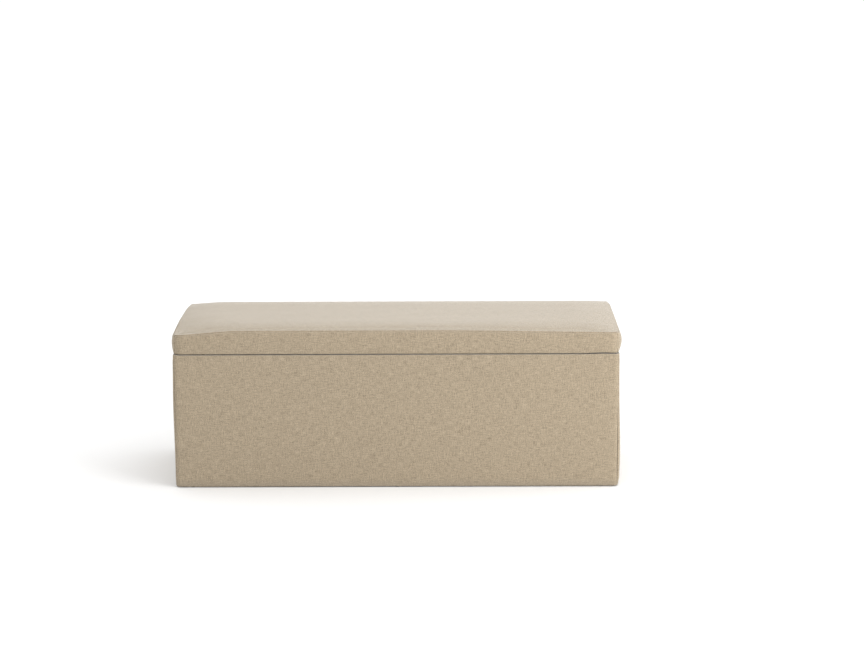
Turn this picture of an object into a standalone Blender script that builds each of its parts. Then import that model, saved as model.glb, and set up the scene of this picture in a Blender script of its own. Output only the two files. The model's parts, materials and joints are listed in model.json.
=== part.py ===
"""An upholstered storage bench: a padded box on nail-on glides, with a padded lid that swings up on
three butt hinges and two gas struts.

Metres, +Z up. The bench stands on z = 0, centred on x = 0 and y = 0, and its front faces -Y.
"""

import math

import bmesh
import bpy
from mathutils import Vector

# Driving dimensions, in metres
WIDTH = 1.300  # over the upholstery, end to end
DEPTH = 0.480  # over the upholstery, front to back
BASE_TOP = 0.396  # floor to the base's upper edge
LID_GAP = 0.003  # air between base and lid
LID_BAND = 0.067  # height of the lid's upright border
CROWN = 0.011  # rise of the padded top over its edge seam
OPEN_ANGLE = math.radians(80)  # the lid's whole travel

# Thicknesses
CLOTH = 0.0010
LINING = 0.0008
BASE_PAD = 0.006
WALL_BOARD = 0.015
FLOOR_BOARD = 0.009
LID_BOARD = 0.018
LID_WRAP = 0.004  # polyester wadding over the lid's foam and round its board
GLIDE_HEIGHT = 0.005
FIT = 0.0003  # air between pieces that lie against each other

# Base: half sizes of each layer, from the outside in
BASE_CORNER = 0.016  # radius of the upright corners
BOARD_X = WIDTH / 2 - CLOTH - BASE_PAD - 2 * FIT
BOARD_Y = DEPTH / 2 - CLOTH - BASE_PAD - 2 * FIT
INNER_X = BOARD_X - WALL_BOARD
INNER_Y = BOARD_Y - WALL_BOARD
CORNER_BLOCK = 0.018  # leg of each three-sided glue block
CLEAT_WIDTH = 0.025
CLEAT_HEIGHT = 0.024

# Base: heights
DUST_COVER_BOTTOM = GLIDE_HEIGHT + FIT
COVER_BOTTOM = DUST_COVER_BOTTOM + LINING + FIT
BOARD_BOTTOM = COVER_BOTTOM + CLOTH + FIT
BOARD_TOP = BASE_TOP - CLOTH - FIT
FLOOR_BOTTOM = BOARD_BOTTOM + CLEAT_HEIGHT + FIT
FLOOR_TOP = FLOOR_BOTTOM + FLOOR_BOARD
DUST_COVER_INSET = 0.012

# Lid: heights and half sizes
LID_CORNER = 0.025  # radius of the upright corners
LID_BOTTOM = BASE_TOP + LID_GAP
LID_EDGE = LID_BOTTOM + LID_BAND
LID_BOARD_BOTTOM = LID_BOTTOM + CLOTH + FIT
LID_FOAM_BOTTOM = LID_BOARD_BOTTOM + LID_BOARD + FIT
WRAP_X = WIDTH / 2 - CLOTH - FIT
WRAP_Y = DEPTH / 2 - CLOTH - FIT
WRAP_EDGE = LID_EDGE - CLOTH - FIT
FOAM_X = WRAP_X - LID_WRAP - FIT
FOAM_Y = WRAP_Y - LID_WRAP - FIT
FOAM_EDGE = WRAP_EDGE - LID_WRAP - FIT
TURN_UNDER = 0.030  # border cloth stapled under the lid board
CROWN_POWER = 4  # how squarely the crown falls off at its edges
CROWN_SEGMENTS = (12, 8)

# Hinges
HINGE_LEAF = 0.0010  # leaf thickness
HINGE_LENGTH = 0.060
HINGE_SPACING = 0.450
HINGE_PIN_RADIUS = 0.0012
KNUCKLE_BORE = 0.0015
KNUCKLE_RADIUS = 0.0026
KNUCKLE_CLEARANCE = 0.0032  # a leaf's own edge stops this far from the axis beside the other's knuckle
LEAF_ROOT = 0.0017  # a leaf's tab reaches this near to the axis, into its own knuckle's wall
LEAF_REACH = 0.0250  # axis to the leaf's inner edge
AXIS_Y = DEPTH / 2 + 0.0035
AXIS_Z = BASE_TOP + LID_GAP / 2

# Gas struts: each joins two balls that lie the same distance from the lid's axis, so that a strut
# turns at exactly half the lid's rate. Angles are measured below the forward horizontal, and they add
# up to the lid's travel, so that the struts of the open lid stand upright.
STRUT_ARM = 0.210
LID_BALL_ANGLE = math.radians(5)
BASE_BALL_ANGLE = OPEN_ANGLE - LID_BALL_ANGLE
STRUT_X = INNER_X - 0.0156
STRUT_CLOSED = 2 * STRUT_ARM * math.sin((BASE_BALL_ANGLE - LID_BALL_ANGLE) / 2)
BALL_RADIUS = 0.005
STUD_RADIUS = 0.0025
SOCKET_RADIUS = 0.0075
SOCKET_HALF_WIDTH = 0.007
SOCKET_BORE = 0.0055
SOCKET_MOUTH = 0.0046
NECK_RADIUS = 0.006
CYLINDER_RADIUS = 0.009
CYLINDER_BORE = 0.008
CYLINDER_START = 0.012
CYLINDER_BASE = 0.004  # thickness of the welded end
CYLINDER_CAP = 0.003  # thickness of the rolled end round the rod
ROD_RADIUS = 0.004
ROD_BORE = 0.0046
ROD_START = 0.014
CYLINDER_END = STRUT_CLOSED - ROD_START - 0.005  # 5 mm of rod still shows when the lid is shut
ROD_LENGTH = STRUT_CLOSED - CYLINDER_START - CYLINDER_BASE - 0.009  # the piston stops 9 mm off the base
PISTON_RADIUS = 0.0074
PISTON_THICKNESS = 0.008
BRACKET_PLATE = 0.002
BRACKET_HALF_WIDTH = 0.009
BRACKET_HALF_HEIGHT = 0.022  # of the base's bracket, about its ball
BRACKET_STANDOFF = 0.014  # tab to ball centre on the lid's bracket
BRACKET_DROP = 0.007  # the lid bracket's tab reaches this far below its ball
FLANGE_LENGTH = 0.024
FLANGE_HALF_WIDTH = 0.013

# Small parts
GLIDE_RADIUS = 0.010
GLIDE_CHAMFER = 0.0015
GLIDE_X = 0.600
GLIDE_Y = BOARD_Y - WALL_BOARD / 2
BUFFER_RADIUS = 0.005
BUFFER_TAPER = 0.001
BUFFER_X = 0.560

LEFT_RIGHT = {"left": -1, "right": 1}
FRONT_BACK = {"front": -1, "back": 1}
THREE_ACROSS = {"left": -1, "centre": 0, "right": 1}

# Turn about Z, half length and half depth of each upright side as seen from outside it
SIDES = {
    "front": (0.0, WIDTH / 2, DEPTH / 2),
    "right": (math.pi / 2, DEPTH / 2, WIDTH / 2),
    "back": (math.pi, WIDTH / 2, DEPTH / 2),
    "left": (-math.pi / 2, DEPTH / 2, WIDTH / 2),
}

# Colour, roughness and metallic value of each finish
FINISHES = {
    "upholstery": ((0.45, 0.36, 0.26), 0.95, 0.0),
    "board": ((0.52, 0.38, 0.23), 0.80, 0.0),
    "timber": ((0.62, 0.45, 0.27), 0.75, 0.0),
    "foam": ((0.78, 0.74, 0.58), 0.95, 0.0),
    "wadding": ((0.85, 0.85, 0.82), 1.00, 0.0),
    "lining": ((0.33, 0.29, 0.24), 0.95, 0.0),
    "dust_cover": ((0.02, 0.02, 0.02), 0.95, 0.0),
    "hinge_steel": ((0.56, 0.55, 0.52), 0.35, 1.0),
    "strut_black": ((0.02, 0.02, 0.02), 0.35, 0.0),
    "strut_chrome": ((0.60, 0.60, 0.62), 0.10, 1.0),
    "socket_plastic": ((0.05, 0.05, 0.05), 0.50, 0.0),
    "glide_plastic": ((0.04, 0.035, 0.03), 0.45, 0.0),
    "buffer_rubber": ((0.03, 0.03, 0.03), 0.70, 0.0),
}


def clear_scene():
    for obj in list(bpy.data.objects):
        bpy.data.objects.remove(obj, do_unlink=True)


def new_collection(name):
    collection = bpy.data.collections.new(name)
    bpy.context.scene.collection.children.link(collection)
    return collection


def finish_material(name):
    """The named finish's material, made once."""
    found = bpy.data.materials.get(name)
    if found:
        return found
    colour, roughness, metallic = FINISHES[name]
    material = bpy.data.materials.new(name)
    material.use_nodes = True
    shader = material.node_tree.nodes["Principled BSDF"]
    shader.inputs["Base Color"].default_value = (*colour, 1.0)
    shader.inputs["Roughness"].default_value = roughness
    shader.inputs["Metallic"].default_value = metallic
    return material


def new_object(name, bm, finish=None):
    """An object from bm: a part of the bench, or a cutter when it has no finish."""
    mesh = bpy.data.meshes.new(name)
    bm.to_mesh(mesh)
    bm.free()
    obj = bpy.data.objects.new(name, mesh)
    if finish:
        mesh.materials.append(finish_material(finish))
        PARTS.objects.link(obj)
    else:
        obj.hide_render = True
        obj.display_type = "WIRE"
        CUTTERS.objects.link(obj)
    return obj


def attach(obj, parent):
    """Parents obj where it stands."""
    bpy.context.view_layer.update()
    obj.parent = parent
    obj.matrix_parent_inverse = parent.matrix_world.inverted()


def pivot(name, location, tilt=0.0, parent=None):
    """An empty on a joint's axis, which runs along X."""
    empty = bpy.data.objects.new(name, None)
    empty.location = location
    empty.rotation_euler.x = tilt
    empty.empty_display_size = 0.03
    PARTS.objects.link(empty)
    if parent:
        attach(empty, parent)
    return empty


def boolean(obj, tool, operation):
    step = obj.modifiers.new(operation.title(), "BOOLEAN")
    step.operation = operation
    step.solver = "EXACT"
    step.object = tool


def block(name, low, high, finish=None, corner=0.0, segments=3):
    """A block from corner to corner, with its upright edges rounded (or chamfered, with one segment)."""
    low, high = Vector(low), Vector(high)
    bm = bmesh.new()
    bmesh.ops.create_cube(bm, size=1.0)
    bmesh.ops.scale(bm, vec=high - low, verts=bm.verts)
    if corner:
        upright = [e for e in bm.edges if abs(e.verts[0].co.z - e.verts[1].co.z) > 1e-6]
        bmesh.ops.bevel(bm, geom=upright, offset=corner, segments=segments, profile=0.5, affect="EDGES")
    obj = new_object(name, bm, finish)
    obj.location = (low + high) / 2
    return obj


def centred_block(name, half_x, half_y, bottom, top, finish=None, corner=0.0, segments=3):
    return block(name, (-half_x, -half_y, bottom), (half_x, half_y, top), finish, corner, segments)


def rod_along_x(name, centre, start, end, radius, finish=None, segments=16):
    """A cylinder along X, from start to end as measured from centre."""
    bm = bmesh.new()
    bmesh.ops.create_cone(
        bm, cap_ends=True, segments=segments, radius1=radius, radius2=radius, depth=end - start
    )
    obj = new_object(name, bm, finish)
    obj.rotation_euler.y = math.pi / 2
    obj.location = Vector(centre) + Vector(((start + end) / 2, 0, 0))
    return obj


def ball(name, centre, radius):
    bm = bmesh.new()
    bmesh.ops.create_uvsphere(bm, u_segments=16, v_segments=10, radius=radius)
    obj = new_object(name, bm)
    obj.location = centre
    return obj


def turned(name, profile, finish, segments=24):
    """A profile of (radius, height) points, which runs down its outer side, turned about Z."""
    bm = bmesh.new()
    points = [bm.verts.new((radius, 0.0, height)) for radius, height in profile]
    for first, second in zip(points, points[1:]):
        bm.edges.new((first, second))
    obj = new_object(name, bm, finish)
    screw = obj.modifiers.new("Turn", "SCREW")
    screw.steps = segments
    screw.render_steps = segments
    screw.use_merge_vertices = True
    screw.merge_threshold = 0.00001
    screw.use_smooth_shade = True
    return obj


def crown_height(x, y):
    """How far the padded top stands above its edge at this point."""
    across = 1 - min(1.0, abs(2 * x / WIDTH)) ** CROWN_POWER
    along = 1 - min(1.0, abs(2 * y / DEPTH)) ** CROWN_POWER
    return CROWN * across * along


def crowned_block(name, half_x, half_y, bottom, edge, finish=None, corner=0.0, thickness=None):
    """A block with a crowned top. With a thickness, its underside follows the top at that distance."""
    bm = bmesh.new()
    columns, rows = CROWN_SEGMENTS
    bmesh.ops.create_grid(bm, x_segments=columns, y_segments=rows, size=1.0)
    bmesh.ops.scale(bm, vec=(half_x, half_y, 1.0), verts=bm.verts)
    walls = bmesh.ops.extrude_face_region(bm, geom=bm.faces[:])
    lifted = [item for item in walls["geom"] if isinstance(item, bmesh.types.BMVert)]
    bmesh.ops.translate(bm, vec=(0, 0, 1.0), verts=lifted)
    bmesh.ops.recalc_face_normals(bm, faces=bm.faces)
    if corner:
        upright = [e for e in bm.edges if abs(e.verts[0].co.z - e.verts[1].co.z) > 0.5]
        at_corner = [
            e
            for e in upright
            if abs(abs(e.verts[0].co.x) - half_x) < 1e-6 and abs(abs(e.verts[0].co.y) - half_y) < 1e-6
        ]
        bmesh.ops.bevel(bm, geom=at_corner, offset=corner, segments=3, profile=0.5, affect="EDGES")
        # Layers only stay clear of each other when their corners are divided alike.
        bmesh.ops.poke(bm, faces=[face for face in bm.faces if len(face.verts) > 4])
    for vert in bm.verts:
        rise = crown_height(vert.co.x, vert.co.y)
        if vert.co.z > 0.5:
            vert.co.z = edge + rise
        elif thickness:
            vert.co.z = edge + rise - thickness
        else:
            vert.co.z = bottom
    return new_object(name, bm, finish)


def mitre_wedge(name, side, bottom, top):
    """The space of one upright side of the bench, cut at 45 degrees where it meets its neighbours."""
    turn, half_length, half_depth = SIDES[side]
    outside, inside = 0.02, 0.08  # how far the wedge reaches outwards and inwards from the side's face
    bm = bmesh.new()
    bmesh.ops.create_cube(bm, size=1.0)
    for vert in bm.verts:
        inward = inside if vert.co.y > 0 else -outside
        reach = half_length - inward - FIT
        vert.co.x = math.copysign(reach, vert.co.x)
        vert.co.y = inward - half_depth
        vert.co.z = top if vert.co.z > 0 else bottom
    obj = new_object(name, bm)
    obj.rotation_euler.z = turn
    return obj


def cloth_ring(prefix, corner, bottom, top, hollow_top, mouth_x, mouth_y):
    """Four mitred cloth sides round the bench. Each is turned inwards at the bottom, and also at the top
    when hollow_top lies below top; mouth_x and mouth_y are the half sizes that the turned cloth leaves."""
    reach = 0.05
    hollow = centred_block(
        f"{prefix}_hollow", WIDTH / 2 - CLOTH, DEPTH / 2 - CLOTH, bottom + CLOTH, hollow_top,
        corner=corner - CLOTH,
    )
    mouth = centred_block(f"{prefix}_mouth", mouth_x, mouth_y, bottom - reach, top + reach)
    made = {}
    for side in SIDES:
        piece = centred_block(f"{prefix}_{side}", WIDTH / 2, DEPTH / 2, bottom, top, "upholstery", corner)
        boolean(piece, hollow, "DIFFERENCE")
        boolean(piece, mouth, "DIFFERENCE")
        boolean(piece, mitre_wedge(f"{prefix}_{side}_wedge", side, bottom - reach, top + reach), "INTERSECT")
        made[side] = piece
    return made


def make_base_frame():
    """Wall boards, corner glue blocks, and the floor on its cleats and bearer."""
    for side, sign in FRONT_BACK.items():
        faces = sorted((sign * BOARD_Y, sign * INNER_Y))
        block(f"{side}_board", (-BOARD_X, faces[0], BOARD_BOTTOM), (BOARD_X, faces[1], BOARD_TOP), "board")
    for side, sign in LEFT_RIGHT.items():
        faces = sorted((sign * BOARD_X, sign * INNER_X))
        half = INNER_Y - FIT
        block(f"{side}_end_board", (faces[0], -half, BOARD_BOTTOM), (faces[1], half, BOARD_TOP), "board")

    cleat_x = INNER_X - CORNER_BLOCK - 2 * FIT
    for side, sign in FRONT_BACK.items():
        faces = sorted((sign * (INNER_Y - FIT), sign * (INNER_Y - FIT - CLEAT_WIDTH)))
        low = (-cleat_x, faces[0], BOARD_BOTTOM)
        block(f"floor_cleat_{side}", low, (cleat_x, faces[1], BOARD_BOTTOM + CLEAT_HEIGHT), "timber")
    bearer_y = INNER_Y - CLEAT_WIDTH - 2 * FIT
    centred_block(
        "floor_bearer", CLEAT_WIDTH / 2, bearer_y, BOARD_BOTTOM, BOARD_BOTTOM + CLEAT_HEIGHT, "timber"
    )
    centred_block(
        "floor_board", INNER_X - FIT, INNER_Y - FIT, FLOOR_BOTTOM, FLOOR_TOP, "board",
        corner=CORNER_BLOCK + FIT, segments=1,
    )

    # A glue block is the corner of a block that a 45 degree cut leaves.
    inside = centred_block(
        "corner_block_cut", INNER_X, INNER_Y, BOARD_BOTTOM - 0.05, BOARD_TOP + 0.05,
        corner=CORNER_BLOCK, segments=1,
    )
    for end, y_sign in FRONT_BACK.items():
        for hand, x_sign in LEFT_RIGHT.items():
            xs = sorted((x_sign * (INNER_X - FIT), x_sign * (INNER_X - CORNER_BLOCK - FIT)))
            ys = sorted((y_sign * (INNER_Y - FIT), y_sign * (INNER_Y - CORNER_BLOCK - FIT)))
            low = (xs[0], ys[0], BOARD_BOTTOM)
            post = block(f"corner_block_{end}_{hand}", low, (xs[1], ys[1], BOARD_TOP), "timber")
            boolean(post, inside, "DIFFERENCE")


def make_base_upholstery():
    """Thin foam on the walls, the cloth over it, the compartment's lining and the dust cover."""
    pad_in = BOARD_Y + FIT
    pad_out = pad_in + BASE_PAD
    pad_x = BOARD_X + FIT + BASE_PAD
    whole = centred_block(
        "base_pad_outline", pad_x, pad_out, BOARD_BOTTOM - 0.05, BOARD_TOP + 0.05,
        corner=BASE_CORNER - CLOTH - FIT,
    )
    for side, sign in FRONT_BACK.items():
        faces = sorted((sign * pad_in, sign * pad_out))
        low = (-pad_x, faces[0], BOARD_BOTTOM)
        pad = block(f"base_pad_{side}", low, (pad_x, faces[1], BOARD_TOP), "foam")
        boolean(pad, whole, "INTERSECT")
    for side, sign in LEFT_RIGHT.items():
        faces = sorted((sign * (BOARD_X + FIT), sign * pad_x))
        low = (faces[0], -BOARD_Y, BOARD_BOTTOM)
        pad = block(f"base_pad_{side}", low, (faces[1], BOARD_Y, BOARD_TOP), "foam")
        boolean(pad, whole, "INTERSECT")

    cloth_ring("base_cover", BASE_CORNER, COVER_BOTTOM, BASE_TOP, BASE_TOP - CLOTH, INNER_X, INNER_Y)

    lining_x, lining_y = INNER_X - FIT, INNER_Y - FIT
    corner = CORNER_BLOCK + FIT
    lining = centred_block(
        "base_lining", lining_x, lining_y, FLOOR_TOP + FIT, BASE_TOP - FIT, "lining", corner, segments=1
    )
    hollow = centred_block(
        "base_lining_hollow", lining_x - LINING, lining_y - LINING, FLOOR_TOP + FIT + LINING,
        BASE_TOP + 0.05, corner=corner, segments=1,
    )
    boolean(lining, hollow, "DIFFERENCE")

    centred_block(
        "dust_cover", WIDTH / 2 - DUST_COVER_INSET, DEPTH / 2 - DUST_COVER_INSET,
        DUST_COVER_BOTTOM, DUST_COVER_BOTTOM + LINING, "dust_cover",
    )


def make_glides_and_buffers():
    """Nail-on glides under the long walls, and rubber buffers that the closed lid lands on."""
    for end, y_sign in FRONT_BACK.items():
        for place, x_sign in THREE_ACROSS.items():
            profile = [
                (0.0, GLIDE_HEIGHT),
                (GLIDE_RADIUS, GLIDE_HEIGHT),
                (GLIDE_RADIUS, GLIDE_CHAMFER),
                (GLIDE_RADIUS - GLIDE_CHAMFER, 0.0),
                (0.0, 0.0),
            ]
            glide = turned(f"glide_{end}_{place}", profile, "glide_plastic", segments=20)
            glide.location = (x_sign * GLIDE_X, y_sign * GLIDE_Y, 0.0)
    for hand, sign in LEFT_RIGHT.items():
        height = LID_GAP - 2 * FIT
        upper_radius = BUFFER_RADIUS - BUFFER_TAPER
        profile = [(0.0, height), (upper_radius, height), (BUFFER_RADIUS, 0.0), (0.0, 0.0)]
        buffer = turned(f"lid_buffer_{hand}", profile, "buffer_rubber", segments=16)
        buffer.location = (sign * BUFFER_X, -GLIDE_Y, BASE_TOP + FIT)


def make_lid(lid_axis):
    """Board, foam, wadding, the crowned top panel, four border panels and the lining underneath."""
    board_corner = LID_CORNER - (WIDTH / 2 - FOAM_X)
    pieces = list(
        cloth_ring(
            "lid_border", LID_CORNER, LID_BOTTOM, LID_EDGE - CLOTH - FIT, LID_EDGE + 0.05,
            WIDTH / 2 - TURN_UNDER, DEPTH / 2 - TURN_UNDER,
        ).values()
    )
    pieces.append(
        crowned_block(
            "lid_cover_top", WIDTH / 2, DEPTH / 2, None, LID_EDGE, "upholstery", LID_CORNER, thickness=CLOTH
        )
    )
    wrap = crowned_block(
        "lid_wadding", WRAP_X, WRAP_Y, LID_BOARD_BOTTOM, WRAP_EDGE, "wadding", LID_CORNER - CLOTH - FIT
    )
    filling = crowned_block(
        "lid_wadding_hollow", WRAP_X - LID_WRAP, WRAP_Y - LID_WRAP, LID_BOTTOM - 0.05,
        WRAP_EDGE - LID_WRAP, corner=board_corner,
    )
    boolean(wrap, filling, "DIFFERENCE")
    pieces.append(wrap)
    pieces.append(
        crowned_block("lid_foam", FOAM_X, FOAM_Y, LID_FOAM_BOTTOM, FOAM_EDGE, "foam", board_corner)
    )
    pieces.append(
        centred_block(
            "lid_board", FOAM_X, FOAM_Y, LID_BOARD_BOTTOM, LID_BOARD_BOTTOM + LID_BOARD, "board",
            board_corner,
        )
    )
    pieces.append(
        centred_block(
            "lid_lining", WIDTH / 2 - TURN_UNDER - FIT, DEPTH / 2 - TURN_UNDER - FIT,
            LID_BOTTOM, LID_BOTTOM + LINING, "lining",
        )
    )
    for piece in pieces:
        attach(piece, lid_axis)


def hinge_leaf(name, centre_x, bottom, knuckles, gaps):
    """A leaf from bottom up, with a tab and a knuckle over each span in knuckles, and its edge cut back
    over each span in gaps. Spans are measured from the hinge's middle."""
    half = HINGE_LENGTH / 2
    leaf = block(
        name,
        (centre_x - half, AXIS_Y - LEAF_REACH, bottom),
        (centre_x + half, AXIS_Y - LEAF_ROOT, bottom + HINGE_LEAF),
        "hinge_steel",
    )
    axis = (centre_x, AXIS_Y, AXIS_Z)
    for number, (start, end) in enumerate(knuckles):
        barrel = rod_along_x(f"{name}_barrel_{number}", axis, start, end, KNUCKLE_RADIUS, segments=20)
        boolean(leaf, barrel, "UNION")
    for number, (start, end) in enumerate(gaps):
        notch = block(
            f"{name}_notch_{number}",
            (centre_x + start, AXIS_Y - KNUCKLE_CLEARANCE, bottom - 0.01),
            (centre_x + end, AXIS_Y + 0.01, bottom + 0.01),
        )
        boolean(leaf, notch, "DIFFERENCE")
    bore = rod_along_x(f"{name}_bore", axis, -half - 0.01, half + 0.01, KNUCKLE_BORE, segments=20)
    boolean(leaf, bore, "DIFFERENCE")
    return leaf


def make_hinges(lid_axis):
    """Three butt hinges in the gap behind the lid: outer knuckles on the base, middle ones on the lid."""
    half, sixth = HINGE_LENGTH / 2, HINGE_LENGTH / 6
    outer = [(-half, -sixth - FIT / 2), (sixth + FIT / 2, half)]
    middle = [(-sixth + FIT / 2, sixth - FIT / 2)]
    for place, sign in THREE_ACROSS.items():
        x = sign * HINGE_SPACING
        beside_middle = [(-half - 0.01, middle[0][0]), (middle[0][1], half + 0.01)]
        between_outer = [(outer[0][1], outer[1][0])]
        hinge_leaf(f"hinge_base_leaf_{place}", x, BASE_TOP + FIT, outer, between_outer)
        lid_leaf_bottom = LID_BOTTOM - FIT - HINGE_LEAF
        lid_leaf = hinge_leaf(f"hinge_lid_leaf_{place}", x, lid_leaf_bottom, middle, beside_middle)
        attach(lid_leaf, lid_axis)
        axis = (x, AXIS_Y, AXIS_Z)
        rod_along_x(f"hinge_pin_{place}", axis, -half, half, HINGE_PIN_RADIUS, "hinge_steel")


def add_ball_stud(plate, centre, towards):
    """Joins a stud and ball to plate: centre is the ball's, and the stud runs from it along X to towards."""
    ends = sorted((0.0, towards - centre[0]))
    boolean(plate, rod_along_x(f"{plate.name}_stud", centre, *ends, STUD_RADIUS), "UNION")
    boolean(plate, ball(f"{plate.name}_ball", centre, BALL_RADIUS), "UNION")


def strut_socket(name, hand_sign, neck_end, parent):
    """A ball socket at its parent's origin. Its neck runs along Z to neck_end, and its mouth opens along X
    to hand_sign's side."""
    half = SOCKET_HALF_WIDTH
    eye = rod_along_x(name, (0, 0, 0), -half, half, SOCKET_RADIUS, "socket_plastic")
    bm = bmesh.new()
    bmesh.ops.create_cone(
        bm, cap_ends=True, segments=20, radius1=NECK_RADIUS, radius2=NECK_RADIUS, depth=abs(neck_end)
    )
    neck = new_object(f"{name}_neck", bm)
    neck.location = (0, 0, neck_end / 2)
    mouth_ends = sorted((0.0, hand_sign * 0.02))
    tools = (
        (neck, "UNION"),
        (ball(f"{name}_seat", (0, 0, 0), SOCKET_BORE), "DIFFERENCE"),
        (rod_along_x(f"{name}_mouth", (0, 0, 0), *mouth_ends, SOCKET_MOUTH), "DIFFERENCE"),
    )
    for tool, operation in tools:
        tool.parent = parent
        boolean(eye, tool, operation)
    eye.parent = parent


def make_strut(hand, sign, lid_axis):
    """One gas strut with its ball brackets: cylinder end at the base, rod end at the lid."""
    x = sign * STRUT_X
    base_ball = Vector((
        x,
        AXIS_Y - STRUT_ARM * math.cos(BASE_BALL_ANGLE),
        AXIS_Z - STRUT_ARM * math.sin(BASE_BALL_ANGLE),
    ))
    lid_ball = Vector((
        x,
        AXIS_Y - STRUT_ARM * math.cos(LID_BALL_ANGLE),
        AXIS_Z - STRUT_ARM * math.sin(LID_BALL_ANGLE),
    ))
    tilt = OPEN_ANGLE / 2
    cylinder_pivot = pivot(f"strut_cylinder_pivot_{hand}", base_ball, tilt)
    rod_pivot = pivot(f"strut_rod_pivot_{hand}", lid_ball, tilt, lid_axis)

    cylinder = turned(
        f"strut_cylinder_{hand}",
        [
            (0.0, CYLINDER_START + CYLINDER_BASE),
            (CYLINDER_BORE, CYLINDER_START + CYLINDER_BASE),
            (CYLINDER_BORE, CYLINDER_END - CYLINDER_CAP),
            (ROD_BORE, CYLINDER_END - CYLINDER_CAP),
            (ROD_BORE, CYLINDER_END),
            (CYLINDER_RADIUS - 0.001, CYLINDER_END),
            (CYLINDER_RADIUS, CYLINDER_END - 0.001),
            (CYLINDER_RADIUS, CYLINDER_START),
            (0.0, CYLINDER_START),
        ],
        "strut_black",
    )
    cylinder.parent = cylinder_pivot
    strut_socket(f"strut_cylinder_socket_{hand}", sign, CYLINDER_START - FIT, cylinder_pivot)

    rod = turned(
        f"strut_rod_{hand}",
        [
            (0.0, -ROD_START),
            (ROD_RADIUS, -ROD_START),
            (ROD_RADIUS, PISTON_THICKNESS - ROD_LENGTH),
            (PISTON_RADIUS, PISTON_THICKNESS - ROD_LENGTH),
            (PISTON_RADIUS, -ROD_LENGTH),
            (0.0, -ROD_LENGTH),
        ],
        "strut_chrome",
    )
    rod.parent = rod_pivot
    strut_socket(f"strut_rod_socket_{hand}", -sign, FIT - ROD_START, rod_pivot)

    wall = sign * (INNER_X - LINING - 2 * FIT)
    faces = sorted((wall, wall - sign * BRACKET_PLATE))
    base_plate = block(
        f"strut_base_bracket_{hand}",
        (faces[0], base_ball.y - BRACKET_HALF_WIDTH, base_ball.z - BRACKET_HALF_HEIGHT),
        (faces[1], base_ball.y + BRACKET_HALF_WIDTH, base_ball.z + BRACKET_HALF_HEIGHT),
        "hinge_steel",
    )
    add_ball_stud(base_plate, base_ball, wall - sign * BRACKET_PLATE / 2)

    # The lid's bracket is an angle: one flange against the lining, and a tab that carries the ball.
    tab_outer = x - sign * BRACKET_STANDOFF
    tab_inner = tab_outer - sign * BRACKET_PLATE
    flange_inner = tab_inner - sign * FLANGE_LENGTH
    top = LID_BOTTOM - FIT
    tab_faces = sorted((tab_outer, tab_inner))
    lid_plate = block(
        f"strut_lid_bracket_{hand}",
        (tab_faces[0], lid_ball.y - BRACKET_HALF_WIDTH, lid_ball.z - BRACKET_DROP),
        (tab_faces[1], lid_ball.y + BRACKET_HALF_WIDTH, top),
        "hinge_steel",
    )
    flange_faces = sorted((tab_outer - sign * BRACKET_PLATE / 2, flange_inner))
    flange = block(
        f"strut_lid_bracket_{hand}_flange",
        (flange_faces[0], lid_ball.y - FLANGE_HALF_WIDTH, top - BRACKET_PLATE),
        (flange_faces[1], lid_ball.y + FLANGE_HALF_WIDTH, top),
    )
    boolean(lid_plate, flange, "UNION")
    add_ball_stud(lid_plate, lid_ball, tab_outer - sign * BRACKET_PLATE / 2)
    attach(lid_plate, lid_axis)


def smooth_round_pieces():
    for obj in PARTS.objects:
        if obj.type == "MESH" and obj.data.polygons:
            obj.data.shade_smooth()
            obj.data.set_sharp_from_angle(angle=math.radians(30))


clear_scene()
PARTS = new_collection("storage_bench")
CUTTERS = new_collection("cutters")
CUTTERS.hide_render = True

lid_hinge_axis = pivot("lid_axis", (0.0, AXIS_Y, AXIS_Z))
make_base_frame()
make_base_upholstery()
make_glides_and_buffers()
make_lid(lid_hinge_axis)
make_hinges(lid_hinge_axis)
for strut_hand, strut_sign in LEFT_RIGHT.items():
    make_strut(strut_hand, strut_sign, lid_hinge_axis)
smooth_round_pieces()
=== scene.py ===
"""Looks of the storage bench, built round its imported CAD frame. Metres, +Z up, the front faces -Y."""

import json
import math

import bmesh
import bpy
import numpy as np
from mathutils import Matrix, Vector


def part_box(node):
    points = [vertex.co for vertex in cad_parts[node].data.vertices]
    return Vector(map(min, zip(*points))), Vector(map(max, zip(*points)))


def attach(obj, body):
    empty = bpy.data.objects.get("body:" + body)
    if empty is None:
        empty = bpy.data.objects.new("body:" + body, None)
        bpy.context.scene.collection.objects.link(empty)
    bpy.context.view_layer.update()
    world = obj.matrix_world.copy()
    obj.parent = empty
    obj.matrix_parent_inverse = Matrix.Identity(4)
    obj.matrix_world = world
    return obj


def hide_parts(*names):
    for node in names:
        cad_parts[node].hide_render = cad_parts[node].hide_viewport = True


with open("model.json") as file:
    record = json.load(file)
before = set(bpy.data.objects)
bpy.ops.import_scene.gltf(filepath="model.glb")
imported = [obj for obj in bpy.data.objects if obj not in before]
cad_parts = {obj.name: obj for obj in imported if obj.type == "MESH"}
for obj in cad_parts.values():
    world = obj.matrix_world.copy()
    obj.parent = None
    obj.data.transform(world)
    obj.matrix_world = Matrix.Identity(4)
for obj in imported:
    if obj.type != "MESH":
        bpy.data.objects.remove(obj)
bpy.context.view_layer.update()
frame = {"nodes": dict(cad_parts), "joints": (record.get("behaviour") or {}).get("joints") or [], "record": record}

NODES = frame["nodes"]

# Sizes that the CAD gives
HALF_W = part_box("base_cover_right")[1].x
HALF_D = -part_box("base_cover_front")[0].y
BASE_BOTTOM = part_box("base_cover_front")[0].z
BASE_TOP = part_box("base_cover_front")[1].z
LID_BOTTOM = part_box("lid_border_front")[0].z
LID_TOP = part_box("lid_cover_top")[1].z
CROWN = 0.011
LID_EDGE = LID_TOP - CROWN

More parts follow.
